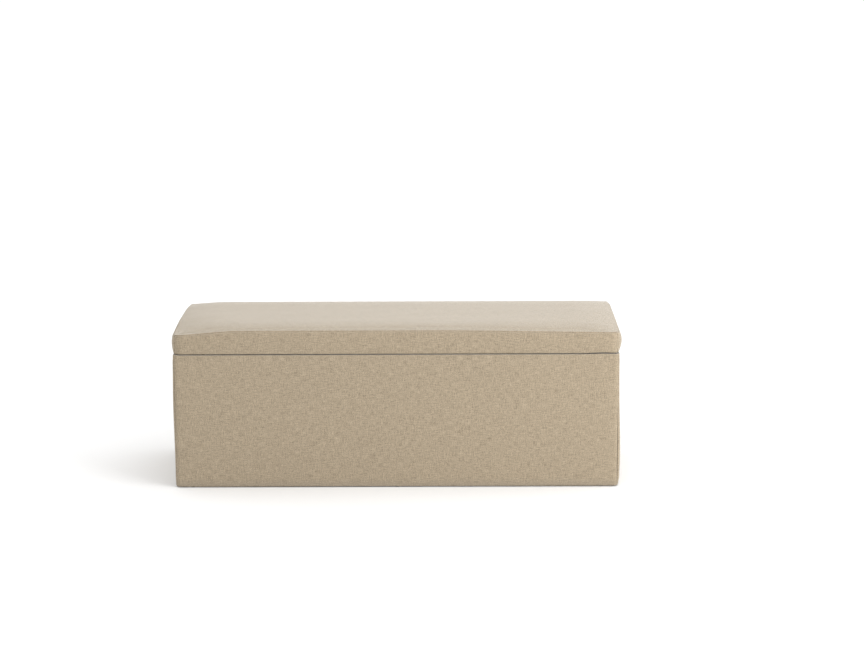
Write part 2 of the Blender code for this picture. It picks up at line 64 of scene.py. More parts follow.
# Upholstery
CLOTH = 0.001
BASE_CORNER = 0.016
BASE_LOWER_ROUND = 0.006
BASE_LIP_DROP = 0.0040  # how far the padded lower edge hangs below the base's underside
BASE_UPPER_ROUND = 0.0014
BASE_RETURN = 0.0226
LID_CORNER = 0.024
LID_LOWER_ROUND = 0.0016
LID_RETURN = 0.0275
LID_INSET = np.array([0.0010, 0.0020])  # how much smaller the lid starts than it ends up
SEAM_LIP = 0.004
CROWN_STATED = 0.93  # share of the top's height that is stated; the simulation varies the rest
RUCK_X, RUCK_WIDTH = 0.600, 0.028
BASE_RUCK, LID_RUCK = 0.0018, 0.0026

SIDES = {
    "front": (0.0, HALF_W, HALF_D),
    "right": (math.pi / 2, HALF_D, HALF_W),
    "back": (math.pi, HALF_W, HALF_D),
    "left": (-math.pi / 2, HALF_D, HALF_W),
}
HANDS = {"left": -1, "right": 1}
ENDS = {"front": -1, "back": 1}
THIRDS = {"left": -1, "centre": 0, "right": 1}


# ---------------------------------------------------------------- numbers

def smooth(value):
    value = np.clip(value, 0.0, 1.0)
    return value * value * (3 - 2 * value)


def waves(u, v, length, seed, count=7, stretch=1.0):
    """Smooth irregular waves between about -1 and 1, of roughly this wavelength."""
    rng = np.random.default_rng(seed)
    total = np.zeros(np.broadcast(u, v).shape)
    for _ in range(count):
        angle = rng.uniform(0, math.tau)
        wavelength = length * rng.uniform(0.7, 1.6)
        phase = rng.uniform(0, math.tau)
        along = (u * math.cos(angle) + v * math.sin(angle) * stretch) / wavelength
        total = total + np.sin(math.tau * along + phase)
    return total / math.sqrt(count) / 1.4


def finer(cells, first=(0.08, 0.17, 0.28, 0.42, 0.6, 0.8), inner=(0.5,), edge_cells=1):
    """Places along a row of cells to interpolate at: close together in the first and last ones."""
    places = []
    for cell in range(cells):
        if cell < edge_cells:
            parts = first
        elif cell >= cells - edge_cells:
            parts = tuple(1 - part for part in reversed(first))
        else:
            parts = inner
        places += [cell] + [cell + part for part in parts]
    return np.array(places + [cells], float)


def cubic_matrix(places, count):
    """Catmull-Rom weights that read a row of count points at these places."""
    weights = np.zeros((len(places), count))
    for row, place in enumerate(places):
        cell = min(int(place), count - 2)
        t = place - cell
        factors = (
            -0.5 * t + t * t - 0.5 * t ** 3,
            1 - 2.5 * t * t + 1.5 * t ** 3,
            0.5 * t + 2 * t * t - 1.5 * t ** 3,
            -0.5 * t * t + 0.5 * t ** 3,
        )
        for offset, factor in zip((-1, 0, 1, 2), factors):
            index = cell + offset
            if index < 0:  # a mirrored point beyond the end
                weights[row, 0] += 2 * factor
                weights[row, 1] -= factor
            elif index >= count:
                weights[row, count - 1] += 2 * factor
                weights[row, count - 2] -= factor
            else:
                weights[row, index] += factor
    return weights


def upsample(grid, rows, columns):
    """A grid of points read at finer rows and columns."""
    down = cubic_matrix(rows, grid.shape[0])
    across = cubic_matrix(columns, grid.shape[1])
    return np.einsum("ri,cj,ijk->rck", down, across, grid)


def normals_of(grid):
    across = np.gradient(grid, axis=1)
    up = np.gradient(grid, axis=0)
    normal = np.cross(across, up)
    return normal / np.maximum(np.linalg.norm(normal, axis=2, keepdims=True), 1e-12)


def travelled(grid, axis):
    """Distance along the grid's rows or columns from its first line."""
    steps = np.linalg.norm(np.diff(grid, axis=axis), axis=2)
    start = np.zeros_like(np.take(steps, [0], axis=axis))
    return np.cumsum(np.concatenate([start, steps], axis=axis), axis=axis)


# ---------------------------------------------------------------- meshes

def new_piece(name, mesh, body, replaces=(), material=None):
    obj = bpy.data.objects.new(name, mesh)
    bpy.context.scene.collection.objects.link(obj)
    if material:
        mesh.materials.append(material)
    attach(obj, body)
    if replaces:
        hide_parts(*replaces)
    return obj


def grid_mesh(name, grids):
    """One mesh of several grids of points. Each comes as (points, u, v), and u and v, in metres, go into
    the UV map that the weave follows."""
    vertices, faces, uvs = [], [], []
    offset = 0
    for points, u, v in grids:
        rows, columns = points.shape[:2]
        index = np.arange(rows * columns).reshape(rows, columns) + offset
        quads = np.stack(
            [index[:-1, :-1], index[:-1, 1:], index[1:, 1:], index[1:, :-1]], axis=-1
        ).reshape(-1, 4)
        vertices.append(points.reshape(-1, 3))
        faces.append(quads)
        uvs.append(np.stack([u, v], axis=-1).reshape(-1, 2))
        offset += rows * columns
    vertices, faces, uvs = np.concatenate(vertices), np.concatenate(faces), np.concatenate(uvs)
    mesh = bpy.data.meshes.new(name)
    mesh.from_pydata(vertices.tolist(), [], faces.tolist())
    layer = mesh.uv_layers.new(name="weave")
    layer.data.foreach_set("uv", uvs[faces.reshape(-1)].astype(np.float32).reshape(-1))
    mesh.polygons.foreach_set("use_smooth", np.ones(len(faces), bool))
    mesh.validate()
    mesh.update()
    return mesh


def thicken(obj, thickness, even=False):
    step = obj.modifiers.new("Thickness", "SOLIDIFY")
    step.thickness = thickness
    step.offset = -1.0
    step.use_even_offset = even
    step.use_quality_normals = True
    return step


def bevel(obj, width, segments=2, angle=30):
    step = obj.modifiers.new("Bevel", "BEVEL")
    step.width = width
    step.segments = segments
    step.limit_method = "ANGLE"
    step.angle_limit = math.radians(angle)
    step.use_clamp_overlap = True
    return step


# ---------------------------------------------------------------- materials

class Shader:
    """A material and a short way to add nodes to it."""

    def __init__(self, name, colour, roughness=0.9, metallic=0.0, **sockets):
        self.material = bpy.data.materials.new(name)
        self.material.use_nodes = True
        self.material.diffuse_color = (*colour, 1.0)
        self.tree = self.material.node_tree
        self.shader = self.tree.nodes["Principled BSDF"]
        self.set("Base Color", (*colour, 1.0))
        self.set("Roughness", roughness)
        self.set("Metallic", metallic)
        for socket, value in sockets.items():
            self.set(socket.replace("_", " "), value)

    def set(self, socket, value):
        target = self.shader.inputs[socket]
        if isinstance(value, bpy.types.NodeSocket):
            self.tree.links.new(value, target)
        else:
            target.default_value = value

    def node(self, kind, inputs=None, output=0, **settings):
        made = self.tree.nodes.new(kind)
        for setting, value in settings.items():
            setattr(made, setting, value)
        for key, value in (inputs or {}).items():
            if value is None:
                continue
            if isinstance(value, bpy.types.NodeSocket):
                self.tree.links.new(value, made.inputs[key])
            else:
                made.inputs[key].default_value = value
        return made.outputs[output]

    def math(self, operation, first, second=None, third=None, clamp=False):
        return self.node(
            "ShaderNodeMath", {0: first, 1: second, 2: third}, operation=operation, use_clamp=clamp
        )

    def spread(self, value, low, high, new_low=0.0, new_high=1.0):
        return self.node(
            "ShaderNodeMapRange",
            {0: value, 1: low, 2: high, 3: new_low, 4: new_high},
        )

    def mix(self, factor, first, second, blend="MIX"):
        made = self.tree.nodes.new("ShaderNodeMix")
        made.data_type = "RGBA"
        made.blend_type = blend
        for index, value in ((0, factor), (6, first), (7, second)):
            if isinstance(value, bpy.types.NodeSocket):
                self.tree.links.new(value, made.inputs[index])
            elif index and len(value) == 3:
                made.inputs[index].default_value = (*value, 1.0)
            else:
                made.inputs[index].default_value = value
        return made.outputs[2]

    def vector(self, x=0.0, y=0.0, z=0.0):
        return self.node("ShaderNodeCombineXYZ", {0: x, 1: y, 2: z})

    def noise(self, vector, scale, detail=2.0, roughness=0.5, output=0):
        return self.node(
            "ShaderNodeTexNoise",
            {"Vector": vector, "Scale": scale, "Detail": detail, "Roughness": roughness},
            output=output,
        )

    def place(self, output=3):
        return self.node("ShaderNodeTexCoord", output=output)

    def bump(self, height, distance, strength=1.0):
        self.set(
            "Normal",
            self.node("ShaderNodeBump", {"Height": height, "Distance": distance, "Strength": strength}),
        )


def weave_axes(shader):
    """The two thread directions, in metres: across and up the piece as it was cut."""
    found = shader.node("ShaderNodeUVMap", uv_map="weave")
    parts = shader.tree.nodes.new("ShaderNodeSeparateXYZ")
    shader.tree.links.new(found, parts.inputs[0])
    return parts.outputs[0], parts.outputs[1]


def plain_weave(shader, u, v, pitch):
    """Height, 0 to 1, of a plain weave: each thread passes over and under the ones that cross it."""
    warp = shader.math("COSINE", shader.math("MULTIPLY", u, math.pi / pitch))
    weft = shader.math("COSINE", shader.math("MULTIPLY", v, math.pi / pitch))
    over = shader.math("MULTIPLY", shader.math("MULTIPLY", warp, weft), 2.5)
    over = shader.spread(over, -1.0, 1.0)
    warp_height = shader.math(
        "MULTIPLY", shader.math("ABSOLUTE", warp), shader.math("MULTIPLY_ADD", over, 0.5, 0.5)
    )
    weft_height = shader.math(
        "MULTIPLY", shader.math("ABSOLUTE", weft), shader.math("MULTIPLY_ADD", over, -0.5, 1.0)
    )
    return shader.math("MAXIMUM", warp_height, weft_height), over


def upholstery_material():
    """Oatmeal linen-look cloth: uneven yarns of several tones, and a strong pale sheen at low angles."""
    shader = Shader(
        "oatmeal_cloth", (0.45, 0.35, 0.24), 0.9, Sheen_Weight=0.48, Sheen_Roughness=0.45,
        Sheen_Tint=(1.0, 0.985, 0.96, 1.0), Specular_IOR_Level=0.25,
    )
    u, v = weave_axes(shader)
    pitch = 0.0011
    weave, over = plain_weave(shader, u, v, pitch)

    def streaks(across, along, length, width, seed):
        """Noise drawn out along the threads."""
        place = shader.vector(
            shader.math("DIVIDE", across, width), shader.math("DIVIDE", along, length), seed
        )
        return shader.noise(place, 1.0, 2.0, 0.6)

    warp_yarn = streaks(u, v, 0.035, 0.0013, 3.0)
    weft_yarn = streaks(v, u, 0.028, 0.0013, 9.0)
    warp_slub = streaks(u, v, 0.016, 0.0024, 15.0)
    weft_slub = streaks(v, u, 0.020, 0.0024, 21.0)
    yarn = shader.math(
        "ADD", shader.math("MULTIPLY", over, warp_yarn),
        shader.math("MULTIPLY", shader.math("SUBTRACT", 1.0, over), weft_yarn),
    )
    slub = shader.math("MULTIPLY", shader.math("ADD", warp_slub, weft_slub), 0.5)
    grain = shader.noise(shader.vector(u, v, 0.5), 420.0, 1.0, 0.5)
    tone = shader.math("ADD", shader.math("MULTIPLY", yarn, 0.30), shader.math("MULTIPLY", slub, 0.40))
    tone = shader.math("MULTIPLY_ADD", grain, 0.30, tone)
    tone = shader.spread(tone, 0.40, 0.60)
    colour = shader.mix(tone, (0.200, 0.160, 0.108), (0.446, 0.364, 0.258))
    fleck = shader.spread(streaks(u, v, 0.006, 0.0012, 40.0), 0.62, 0.74)
    colour = shader.mix(shader.math("MULTIPLY", fleck, 0.45), colour, (0.56, 0.50, 0.41))
    # Painted shade: the colour is darkened in the weave's low places, between the threads.
    weave_hollow_shade = shader.spread(weave, 0.25, 0.75, 0.74, 1.0)
    colour = shader.mix(1.0, colour, shader.vector(weave_hollow_shade, weave_hollow_shade, weave_hollow_shade), "MULTIPLY")

    # Handling: slow random changes over the whole piece. Painted shade: a slightly greyer, darker lower edge,
    # where the cloth turns under towards the floor.
    place = shader.place()
    wide = shader.spread(shader.noise(place, 4.0, 3.0, 0.5), 0.3, 0.7, 0.985, 1.01)
    colour = shader.mix(1.0, colour, shader.vector(wide, wide, wide), "MULTIPLY")
    parts = shader.tree.nodes.new("ShaderNodeSeparateXYZ")
    shader.tree.links.new(place, parts.inputs[0])
    ragged = shader.math(
        "ADD", parts.outputs[2], shader.math("MULTIPLY", shader.noise(place, 30.0, 3.0), 0.012)
    )
    # Painted shade: the cloth's lower edge is darkened, fading out about 34 mm above the floor.
    painted_low_shade = shader.spread(ragged, 0.014, 0.034, 0.30, 0.0)
    colour = shader.mix(painted_low_shade, colour, (0.24, 0.21, 0.17))
    shader.set("Base Color", colour)
    shader.set("Roughness", shader.spread(yarn, 0.3, 0.7, 0.96, 0.82))
    fuzz = shader.noise(place, 900.0, 2.0, 0.6)
    height = shader.math("ADD", weave, shader.math("MULTIPLY", slub, 0.9))
    height = shader.math("MULTIPLY_ADD", fuzz, 0.35, height)
    shader.bump(height, 0.00030, 0.55)
    return shader.material


def lining_material():
    shader = Shader(
        "cotton_lining", (0.33, 0.29, 0.24), 0.9, Sheen_Weight=0.3, Sheen_Roughness=0.5,
        Specular_IOR_Level=0.3,
    )
    u, v = weave_axes(shader)
    weave, _ = plain_weave(shader, u, v, 0.0007)
    place = shader.place()
    yarn = shader.noise(
        shader.vector(shader.math("DIVIDE", u, 0.0012), shader.math("DIVIDE", v, 0.03), 2.0), 1.0, 2.0
    )
    tone = shader.spread(yarn, 0.3, 0.7, 0.86, 1.08)
    wide = shader.spread(shader.noise(place, 6.0, 3.0), 0.3, 0.7, 0.94, 1.04)
    tone = shader.math("MULTIPLY", tone, wide)
    # Painted shade: the tone is darkened in the weave's low places, between the threads.
    tone = shader.math("MULTIPLY", tone, shader.spread(weave, 0.2, 0.8, 0.8, 1.0))
    colour = shader.mix(1.0, (0.335, 0.288, 0.235), shader.vector(tone, tone, tone), "MULTIPLY")
    shader.set("Base Color", colour)
    shader.set("Roughness", shader.spread(yarn, 0.3, 0.7, 0.95, 0.82))
    shader.bump(weave, 0.00018, 0.5)
    return shader.material


def dust_cover_material():
    """Black non-woven: pressed fibres with a grid of small embossed points."""
    shader = Shader("black_nonwoven", (0.02, 0.02, 0.02), 0.85, Specular_IOR_Level=0.35)
    u, v = weave_axes(shader)
    place = shader.place()
    dots_u = shader.math("COSINE", shader.math("MULTIPLY", u, math.tau / 0.0016))
    dots_v = shader.math("COSINE", shader.math("MULTIPLY", v, math.tau / 0.0016))
    dots = shader.spread(shader.math("MULTIPLY", dots_u, dots_v), 0.2, 0.9)
    fibres = shader.noise(place, 700.0, 4.0, 0.7)
    lint = shader.spread(shader.noise(place, 160.0, 5.0, 0.8), 0.66, 0.8)
    colour = shader.mix(fibres, (0.012, 0.012, 0.013), (0.035, 0.034, 0.034))
    colour = shader.mix(shader.math("MULTIPLY", lint, 0.35), colour, (0.20, 0.19, 0.18))
    shader.set("Base Color", colour)
    shader.set("Roughness", shader.spread(dots, 0.0, 1.0, 0.9, 0.55))
    shader.bump(shader.math("MULTIPLY_ADD", dots, -0.7, fibres), 0.0002, 0.6)
    return shader.material


def foam_material(name, light, dark, cell):
    shader = Shader(name, light, 0.95, Subsurface_Weight=0.1, Subsurface_Scale=0.003)
    place = shader.place()
    cells = shader.node(
        "ShaderNodeTexVoronoi", {"Vector": place, "Scale": cell, "Randomness": 1.0}
    )
    blotch = shader.noise(place, 9.0, 3.0)
    pores = shader.spread(cells, 0.05, 0.45)
    colour = shader.mix(pores, light, dark)
    colour = shader.mix(shader.math("MULTIPLY", blotch, 0.35), colour, dark)
    shader.set("Base Color", colour)
    shader.set("Roughness", shader.spread(blotch, 0.2, 0.8, 0.9, 1.0))
    shader.bump(pores, 0.0005, 0.6)
    return shader.material


def wood_material(name, pale, dark, ply=False):
    """Raw wood with its grain along X. Plywood shows its layers along Z on the edges of a flat board."""
    shader = Shader(name, pale, 0.75, Specular_IOR_Level=0.3)
    place = shader.place()
    grain_place = shader.node(
        "ShaderNodeMapping", {"Vector": place, "Scale": (1.2, 14.0, 14.0)}
    )
    flow = shader.noise(grain_place, 2.0, 4.0, 0.55)
    rings = shader.node(
        "ShaderNodeTexWave",
        {
            "Vector": grain_place, "Scale": 1.1, "Distortion": 9.0, "Detail": 3.0,
            "Detail Scale": 0.6, "Phase Offset": 1.0,
        },
        wave_type="RINGS", rings_direction="X",
    )
    fibre_place = shader.node(
        "ShaderNodeMapping", {"Vector": place, "Scale": (12.0, 420.0, 420.0)}
    )
    fibres = shader.noise(fibre_place, 1.0, 3.0, 0.6)
    colour = shader.mix(shader.spread(rings, 0.2, 0.9), pale, dark)
    colour = shader.mix(shader.math("MULTIPLY", flow, 0.4), colour, dark)
    pores = shader.spread(fibres, 0.35, 0.6, 0.82, 1.04)
    colour = shader.mix(1.0, colour, shader.vector(pores, pores, pores), "MULTIPLY")
    if ply:
        parts = shader.tree.nodes.new("ShaderNodeSeparateXYZ")
        shader.tree.links.new(place, parts.inputs[0])
        layer = shader.math("SINE", shader.math("MULTIPLY", parts.outputs[2], math.tau / 0.003))
        line = shader.spread(layer, 0.75, 0.95, 0.0, 0.22)
        colour = shader.mix(line, colour, dark)
    shader.set("Base Color", colour)
    shader.set("Roughness", shader.spread(fibres, 0.3, 0.7, 0.86, 0.66))
    shader.bump(shader.math("ADD", fibres, shader.math("MULTIPLY", rings, 0.4)), 0.0003, 0.5)
    return shader.material


def zinc_material():
    """Zinc plate: fine crystalline mottling with brushed scratches along X."""
    shader = Shader("zinc_steel", (0.56, 0.55, 0.52), 0.35, 1.0)
    place = shader.place()
    mottle = shader.node("ShaderNodeTexVoronoi", {"Vector": place, "Scale": 260.0}, output=1)
    grey = shader.node("ShaderNodeRGBToBW", {0: mottle})
    brushed = shader.node("ShaderNodeMapping", {"Vector": place, "Scale": (90.0, 4000.0, 4000.0)})
    scratches = shader.noise(brushed, 1.0, 2.0, 0.6)
    tarnish = shader.spread(shader.noise(place, 45.0, 4.0, 0.6), 0.35, 0.75)
    colour = shader.mix(shader.spread(grey, 0.0, 1.0), (0.50, 0.50, 0.49), (0.64, 0.63, 0.60))
    colour = shader.mix(shader.math("MULTIPLY", tarnish, 0.35), colour, (0.40, 0.37, 0.32))
    shader.set("Base Color", colour)
    rough = shader.math("MULTIPLY_ADD", tarnish, 0.18, shader.spread(scratches, 0.3, 0.7, 0.24, 0.42))
    shader.set("Roughness", rough)
    shader.bump(scratches, 0.00003, 0.5)
    return shader.material


def coated_material(name, dark, light, roughness, scale, bump, metallic=0.0, **sockets):
    """Paint, moulded plastic or rubber: a fine surface texture, faint scuffs and uneven gloss."""
    shader = Shader(name, dark, roughness, metallic, **sockets)
    place = shader.place()
    texture = shader.noise(place, scale, 3.0, 0.6)
    scuffs = shader.spread(shader.noise(place, 60.0, 5.0, 0.75), 0.58, 0.76)
    colour = shader.mix(texture, dark, light)
    worn = tuple(min(1.0, channel * 1.8 + 0.03) for channel in light)
    colour = shader.mix(shader.math("MULTIPLY", scuffs, 0.35), colour, worn)
    shader.set("Base Color", colour)
    base = shader.spread(texture, 0.3, 0.7, roughness - 0.05, roughness + 0.05)
    shader.set("Roughness", shader.math("MULTIPLY_ADD", scuffs, 0.18, base))
    shader.bump(texture, bump, 0.5)
    return shader.material


def chrome_material():
    shader = Shader("ground_chrome", (0.62, 0.62, 0.64), 0.08, 1.0)
    place = shader.place()
    haze = shader.noise(place, 30.0, 4.0, 0.7)
    fine = shader.noise(place, 2500.0, 2.0)
    colour = shader.mix(haze, (0.58, 0.58, 0.60), (0.66, 0.66, 0.67))
    shader.set("Base Color", colour)
    base = shader.spread(haze, 0.3, 0.8, 0.05, 0.14)
    shader.set("Roughness", shader.math("MULTIPLY_ADD", fine, 0.05, base))
    shader.bump(fine, 0.000005, 0.3)
    return shader.material


MATERIALS = {
    "upholstery": upholstery_material(),
    "lining": lining_material(),
    "dust_cover": dust_cover_material(),
    "foam": foam_material("upholstery_foam", (0.80, 0.76, 0.60), (0.62, 0.57, 0.40), 700.0),
    "wadding": foam_material("polyester_wadding", (0.88, 0.88, 0.86), (0.76, 0.76, 0.74), 240.0),
    "board": wood_material("plywood", (0.64, 0.48, 0.31), (0.44, 0.29, 0.16), ply=True),
    "timber": wood_material("softwood", (0.72, 0.55, 0.34), (0.52, 0.35, 0.18)),
    "hinge_steel": zinc_material(),
    "strut_black": coated_material(
        "black_paint", (0.012, 0.012, 0.012), (0.022, 0.022, 0.023), 0.32, 900.0, 0.00002
    ),
    "strut_chrome": chrome_material(),
    "socket_plastic": coated_material(
        "moulded_black", (0.030, 0.030, 0.031), (0.045, 0.045, 0.046), 0.48, 1400.0, 0.00004
    ),
    "glide_plastic": coated_material(
        "moulded_brown", (0.035, 0.028, 0.022), (0.050, 0.042, 0.034), 0.45, 1100.0, 0.00004
    ),
    "buffer_rubber": coated_material(
        "black_rubber", (0.022, 0.022, 0.022), (0.034, 0.034, 0.034), 0.72, 1600.0, 0.00005
    ),
}


# ---------------------------------------------------------------- plan shapes

class Side:
    """One upright side of a rounded box. Points are given by a place along it (u on the straight, phi round
    the corner), an inset and a height."""

    def __init__(self, name, inset_x, inset_y, corner):
        self.turn, half_length, half_depth = SIDES[name]
        along, inward = (inset_x, inset_y) if name in ENDS else (inset_y, inset_x)
        self.half = half_length - along
        self.depth = half_depth - inward
        self.corner = corner

    def local(self, u, phi, inset):
        """Place along the side, and distance outwards from its face."""
        left = self.corner - inset
        reach = np.maximum(left, 0) * np.sin(np.abs(phi)) + np.minimum(left, 0) * np.tan(np.abs(phi))
        along = u + np.sign(phi) * reach
        out = np.where(
            phi == 0, -inset,
            -self.corner + np.maximum(left, 0) * np.cos(phi) + np.minimum(left, 0),
        )
        return along, out

    def world(self, along, out, z):
        x, y = along, -(self.depth + out)
        cos, sin = math.cos(self.turn), math.sin(self.turn)
        return np.stack(np.broadcast_arrays(x * cos - y * sin, x * sin + y * cos, z), axis=-1)

    def outward(self, phi):
        """The direction away from the side at this place, in plan."""
        x, y = np.sin(phi), -np.cos(phi)
        cos, sin = math.cos(self.turn), math.sin(self.turn)
        return np.stack([x * cos - y * sin, x * sin + y * cos, np.zeros_like(x)], axis=-1)


def side_columns(side, step, near_seam):
    """Places along a side: u and phi, from its left corner seam to its right one. near_seam are distances
    from the seam, within the corner's curve."""
    straight = side.half - side.corner
    count = max(2, round(2 * straight / step))
    us = np.linspace(-straight, straight, count + 1)
    arc = side.corner * math.pi / 4
    phis = (arc - np.array([d for d in near_seam if d < arc])) / side.corner
    u = np.concatenate([np.full(len(phis), -straight), us, np.full(len(phis), straight)])
    phi = np.concatenate([-phis, np.zeros(len(us)), phis[::-1]])
    return u, phi


# How far each face stands out, how high up that is greatest, and over what height
BASE_BULGES = {
    "front": (0.0012, 0.20, 0.12),
    "right": (0.0070, 0.11, 0.13),
    "back": (0.0018, 0.20, 0.12),
    "left": (0.0045, 0.25, 0.11),
}
SEAM_STEPS = (
    0.0, 0.0004, 0.0008, 0.0013, 0.0019, 0.0027, 0.0038, 0.0054, 0.0075, 0.0100, 0.0125, 0.0150,
)


def seam_form(distance, groove, ridge, width=0.0011):
    """How far cloth stands out beside a seam: a narrow groove at it, and a soft ridge beside that."""
    return (
        -groove * np.exp(-((distance / width) ** 2))
        + ridge * np.exp(-(((distance - 3.1 * width) / (2 * width)) ** 2))
    )


def rucked(x):
    """Where the cloth on both sides of the opening sits higher, near the front right corner."""
    return np.exp(-(((x - RUCK_X) / RUCK_WIDTH) ** 2))


# ---------------------------------------------------------------- base covers

def base_section():
    """The cloth's line from under the base, up its face and in over its top: inset, height, share of face."""
    lower, upper = BASE_LOWER_ROUND, BASE_UPPER_ROUND
    points = [(inset, BASE_BOTTOM) for inset in np.linspace(BASE_RETURN, lower + 0.001, 6)]
    edge = BASE_BOTTOM - BASE_LIP_DROP
    for angle in np.linspace(-math.pi / 2, math.pi / 2, 15):
        out = lower * 0.42 * (1 - math.sin(angle))
        rise = lower * (1 - math.cos(angle)) if angle > 0 else BASE_LIP_DROP * (1 - math.cos(angle))
        points.append((out, edge + rise))
    low, high = edge + lower, BASE_TOP - upper
    points += [(0.0, z) for z in np.linspace(low, high, round((high - low) / 0.0075) + 1)[1:-1]]
    for angle in np.linspace(0, math.pi / 2, 7):
        points.append((upper * (1 - math.cos(angle)), high + upper * math.sin(angle)))
    points += [(inset, BASE_TOP) for inset in np.linspace(upper + 0.001, BASE_RETURN, 4)]
    return np.array(points)


def make_base_cover(name, seed):
    side = Side(name, 0.0, 0.0, BASE_CORNER)
    u, phi = side_columns(side, 0.0085, SEAM_STEPS)
    section = base_section()
    inset, z = section[:, :1], section[:, 1:]
    along, out = side.local(u[None, :], phi[None, :], inset)

    length = np.concatenate([[0], np.cumsum(np.hypot(*np.diff(section, axis=0).T))])
    flat_u = u + phi * side.corner
    seam_distance = np.abs(flat_u).max() - np.abs(flat_u)
    seam_u = flat_u[None, :]
    face = smooth((z - BASE_BOTTOM) / 0.018) * smooth((BASE_TOP - z) / 0.022)
    ends = smooth(seam_distance[None, :] / 0.05)
    push = 0.0011 * face * (0.35 + 0.65 * ends)
    amount, middle, span = BASE_BULGES[name]
    push = push + amount * np.exp(-(((z - middle) / span) ** 2)) * face * (0.45 + 0.55 * ends)
    push = push + 0.00045 * waves(seam_u, z, 0.30, seed) * face * ends
    push = push + 0.00016 * waves(seam_u, z * 0.5, 0.09, seed + 1) * face * ends
    pulls = np.exp(-np.maximum(z - BASE_BOTTOM - BASE_LOWER_ROUND, 0) / 0.022)
    pulls = pulls * smooth((z - BASE_BOTTOM) / BASE_LOWER_ROUND)
    push = push + 0.00022 * waves(seam_u, z * 0.2, 0.042, seed + 2) * pulls
    pulls = np.exp(-np.maximum(BASE_TOP - BASE_UPPER_ROUND - z, 0) / 0.016) * smooth((BASE_TOP - z) / 0.005)
    push = push + 0.00018 * waves(seam_u, z * 0.2, 0.036, seed + 3) * pulls
    shaped = smooth(1 - (inset - 0.004) / 0.010)
    stitches = 1 + 0.25 * np.sin(math.tau * z / 0.0046)
    push = push + seam_form(seam_distance[None, :], 0.0012, 0.00035) * shaped * stitches
    push = push * shaped
    points = side.world(along, out, z) + push[..., None] * side.outward(phi)[None, :, :]
    if name == "front":
        near_top = smooth((z - BASE_TOP + 0.022) / 0.020) * smooth(1 - (inset - 0.003) / 0.010)
        points[..., 2] += BASE_RUCK * rucked(points[..., 0]) * near_top

    # Cloth beyond the corner seams, turned inside.
    lips = []
    for column in (0, -1):
        diagonal = side.outward(phi[[column]])[0]
        sign = math.copysign(1.0, phi[column])
        tangent = np.cross(diagonal, [0, 0, 1]) * sign
        lips.append(points[:, [column]] - SEAM_LIP * diagonal + 0.0006 * tangent)
    points = np.concatenate([lips[0], points, lips[1]], axis=1)
    flat_u = np.concatenate([[flat_u[0] - SEAM_LIP], flat_u, [flat_u[-1] + SEAM_LIP]])
    uu, vv = np.broadcast_arrays(flat_u[None, :], length[:, None])
    mesh = grid_mesh(f"bench_cover_{name}", [(points, uu, vv)])
    obj = new_piece(
        f"bench_cover_{name}", mesh, "base", [f"base_cover_{name}"], MATERIALS["upholstery"]
    )
    thicken(obj, CLOTH)
    return obj


def make_wall_pad(name):
    """Thin foam over one wall board, tucked in under the cloth."""
    low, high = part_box(f"base_pad_{name}")
    side = Side(name, CLOTH + 0.0004, CLOTH + 0.0004, BASE_CORNER - CLOTH)
    thickness = 0.0055
    straight = side.half - side.corner
    u = np.linspace(-straight, straight, 90)
    z = np.linspace(low.z + 0.006, high.z - 0.003, 30)[:, None]
    wave = 0.0002 * waves(u[None, :], z, 0.2, 91)
    edge = smooth(np.minimum(z - z[0], z[-1] - z) / 0.01)
    outer = side.world(u[None, :], (wave - 0.0004 - 0.0012 * (1 - edge)), z)
    uu, vv = np.broadcast_arrays(u[None, :], z)
    mesh = grid_mesh(f"wall_pad_{name}", [(outer, uu, vv)])
    obj = new_piece(f"wall_pad_{name}", mesh, "base", [f"base_pad_{name}"], MATERIALS["foam"])
    thicken(obj, thickness)
    return obj


for number, side_name in enumerate(SIDES):
    make_wall_pad(side_name)
    make_base_cover(side_name, 100 + 10 * number)


# ---------------------------------------------------------------- the lid's cover

LID_HALF = np.array([HALF_W, HALF_D]) - LID_INSET
BAND_ROWS = 9
DROOPS = (  # corner, how much lower its seam lies, and over what distance
    ((-1, -1), 0.0115, 0.20, 0.22),
    ((1, -1), 0.0065, 0.55, 0.30),
    ((-1, 1), 0.0050, 0.11, 0.12),
    ((1, 1), 0.0015, 0.06, 0.06),
)


def lid_line(half):
    """Grid lines across half the lid: close together round the corner, 12 mm apart in the middle."""
    corner = np.linspace(0, LID_CORNER, 8)
    middle = half - LID_CORNER
    steps = [0.0055, 0.008]
    start = np.cumsum([0] + steps)
    rest = middle - start[-1]
    count = round(rest / 0.0125)
    inner = np.concatenate([start[:-1], start[-1] + np.linspace(0, rest, count + 1)])
    return half - np.concatenate([corner, LID_CORNER + inner[1:]])


def both_ways(line):
    return np.concatenate([-line, line[::-1][1:]])


def rounded(x, y):
    """Moves a rectangle's corner squares into quarter discs."""
    px = np.clip((np.abs(x) - (LID_HALF[0] - LID_CORNER)) / LID_CORNER, 0, 1)
    py = np.clip((np.abs(y) - (LID_HALF[1] - LID_CORNER)) / LID_CORNER, 0, 1)
    new_px = px * np.sqrt(1 - py * py / 2)
    new_py = py * np.sqrt(1 - px * px / 2)
    return x + np.sign(x) * LID_CORNER * (new_px - px), y + np.sign(y) * LID_CORNER * (new_py - py)


def droop(x, y):
    total = 0
    for (side_x, side_y), amount, reach_x, reach_y in DROOPS:
        from_x = np.abs(side_x * HALF_W - x)
        from_y = np.abs(side_y * HALF_D - y)
        total = total + amount * smooth(1 - from_x / reach_x) * smooth(1 - from_y / reach_y)
    return total


def roll(distance, reach):
    """Share of the crown that the top has reached at this distance from its edge: quick at first, where
    the cloth turns over the edge, and slow after that."""
    turn = 1 - (1 - np.clip(distance / 0.018, 0, 1)) ** 2.0
    rise = 1 - (1 - np.clip(distance / reach, 0, 1)) ** 2.2
    return 0.12 * turn + 0.88 * rise


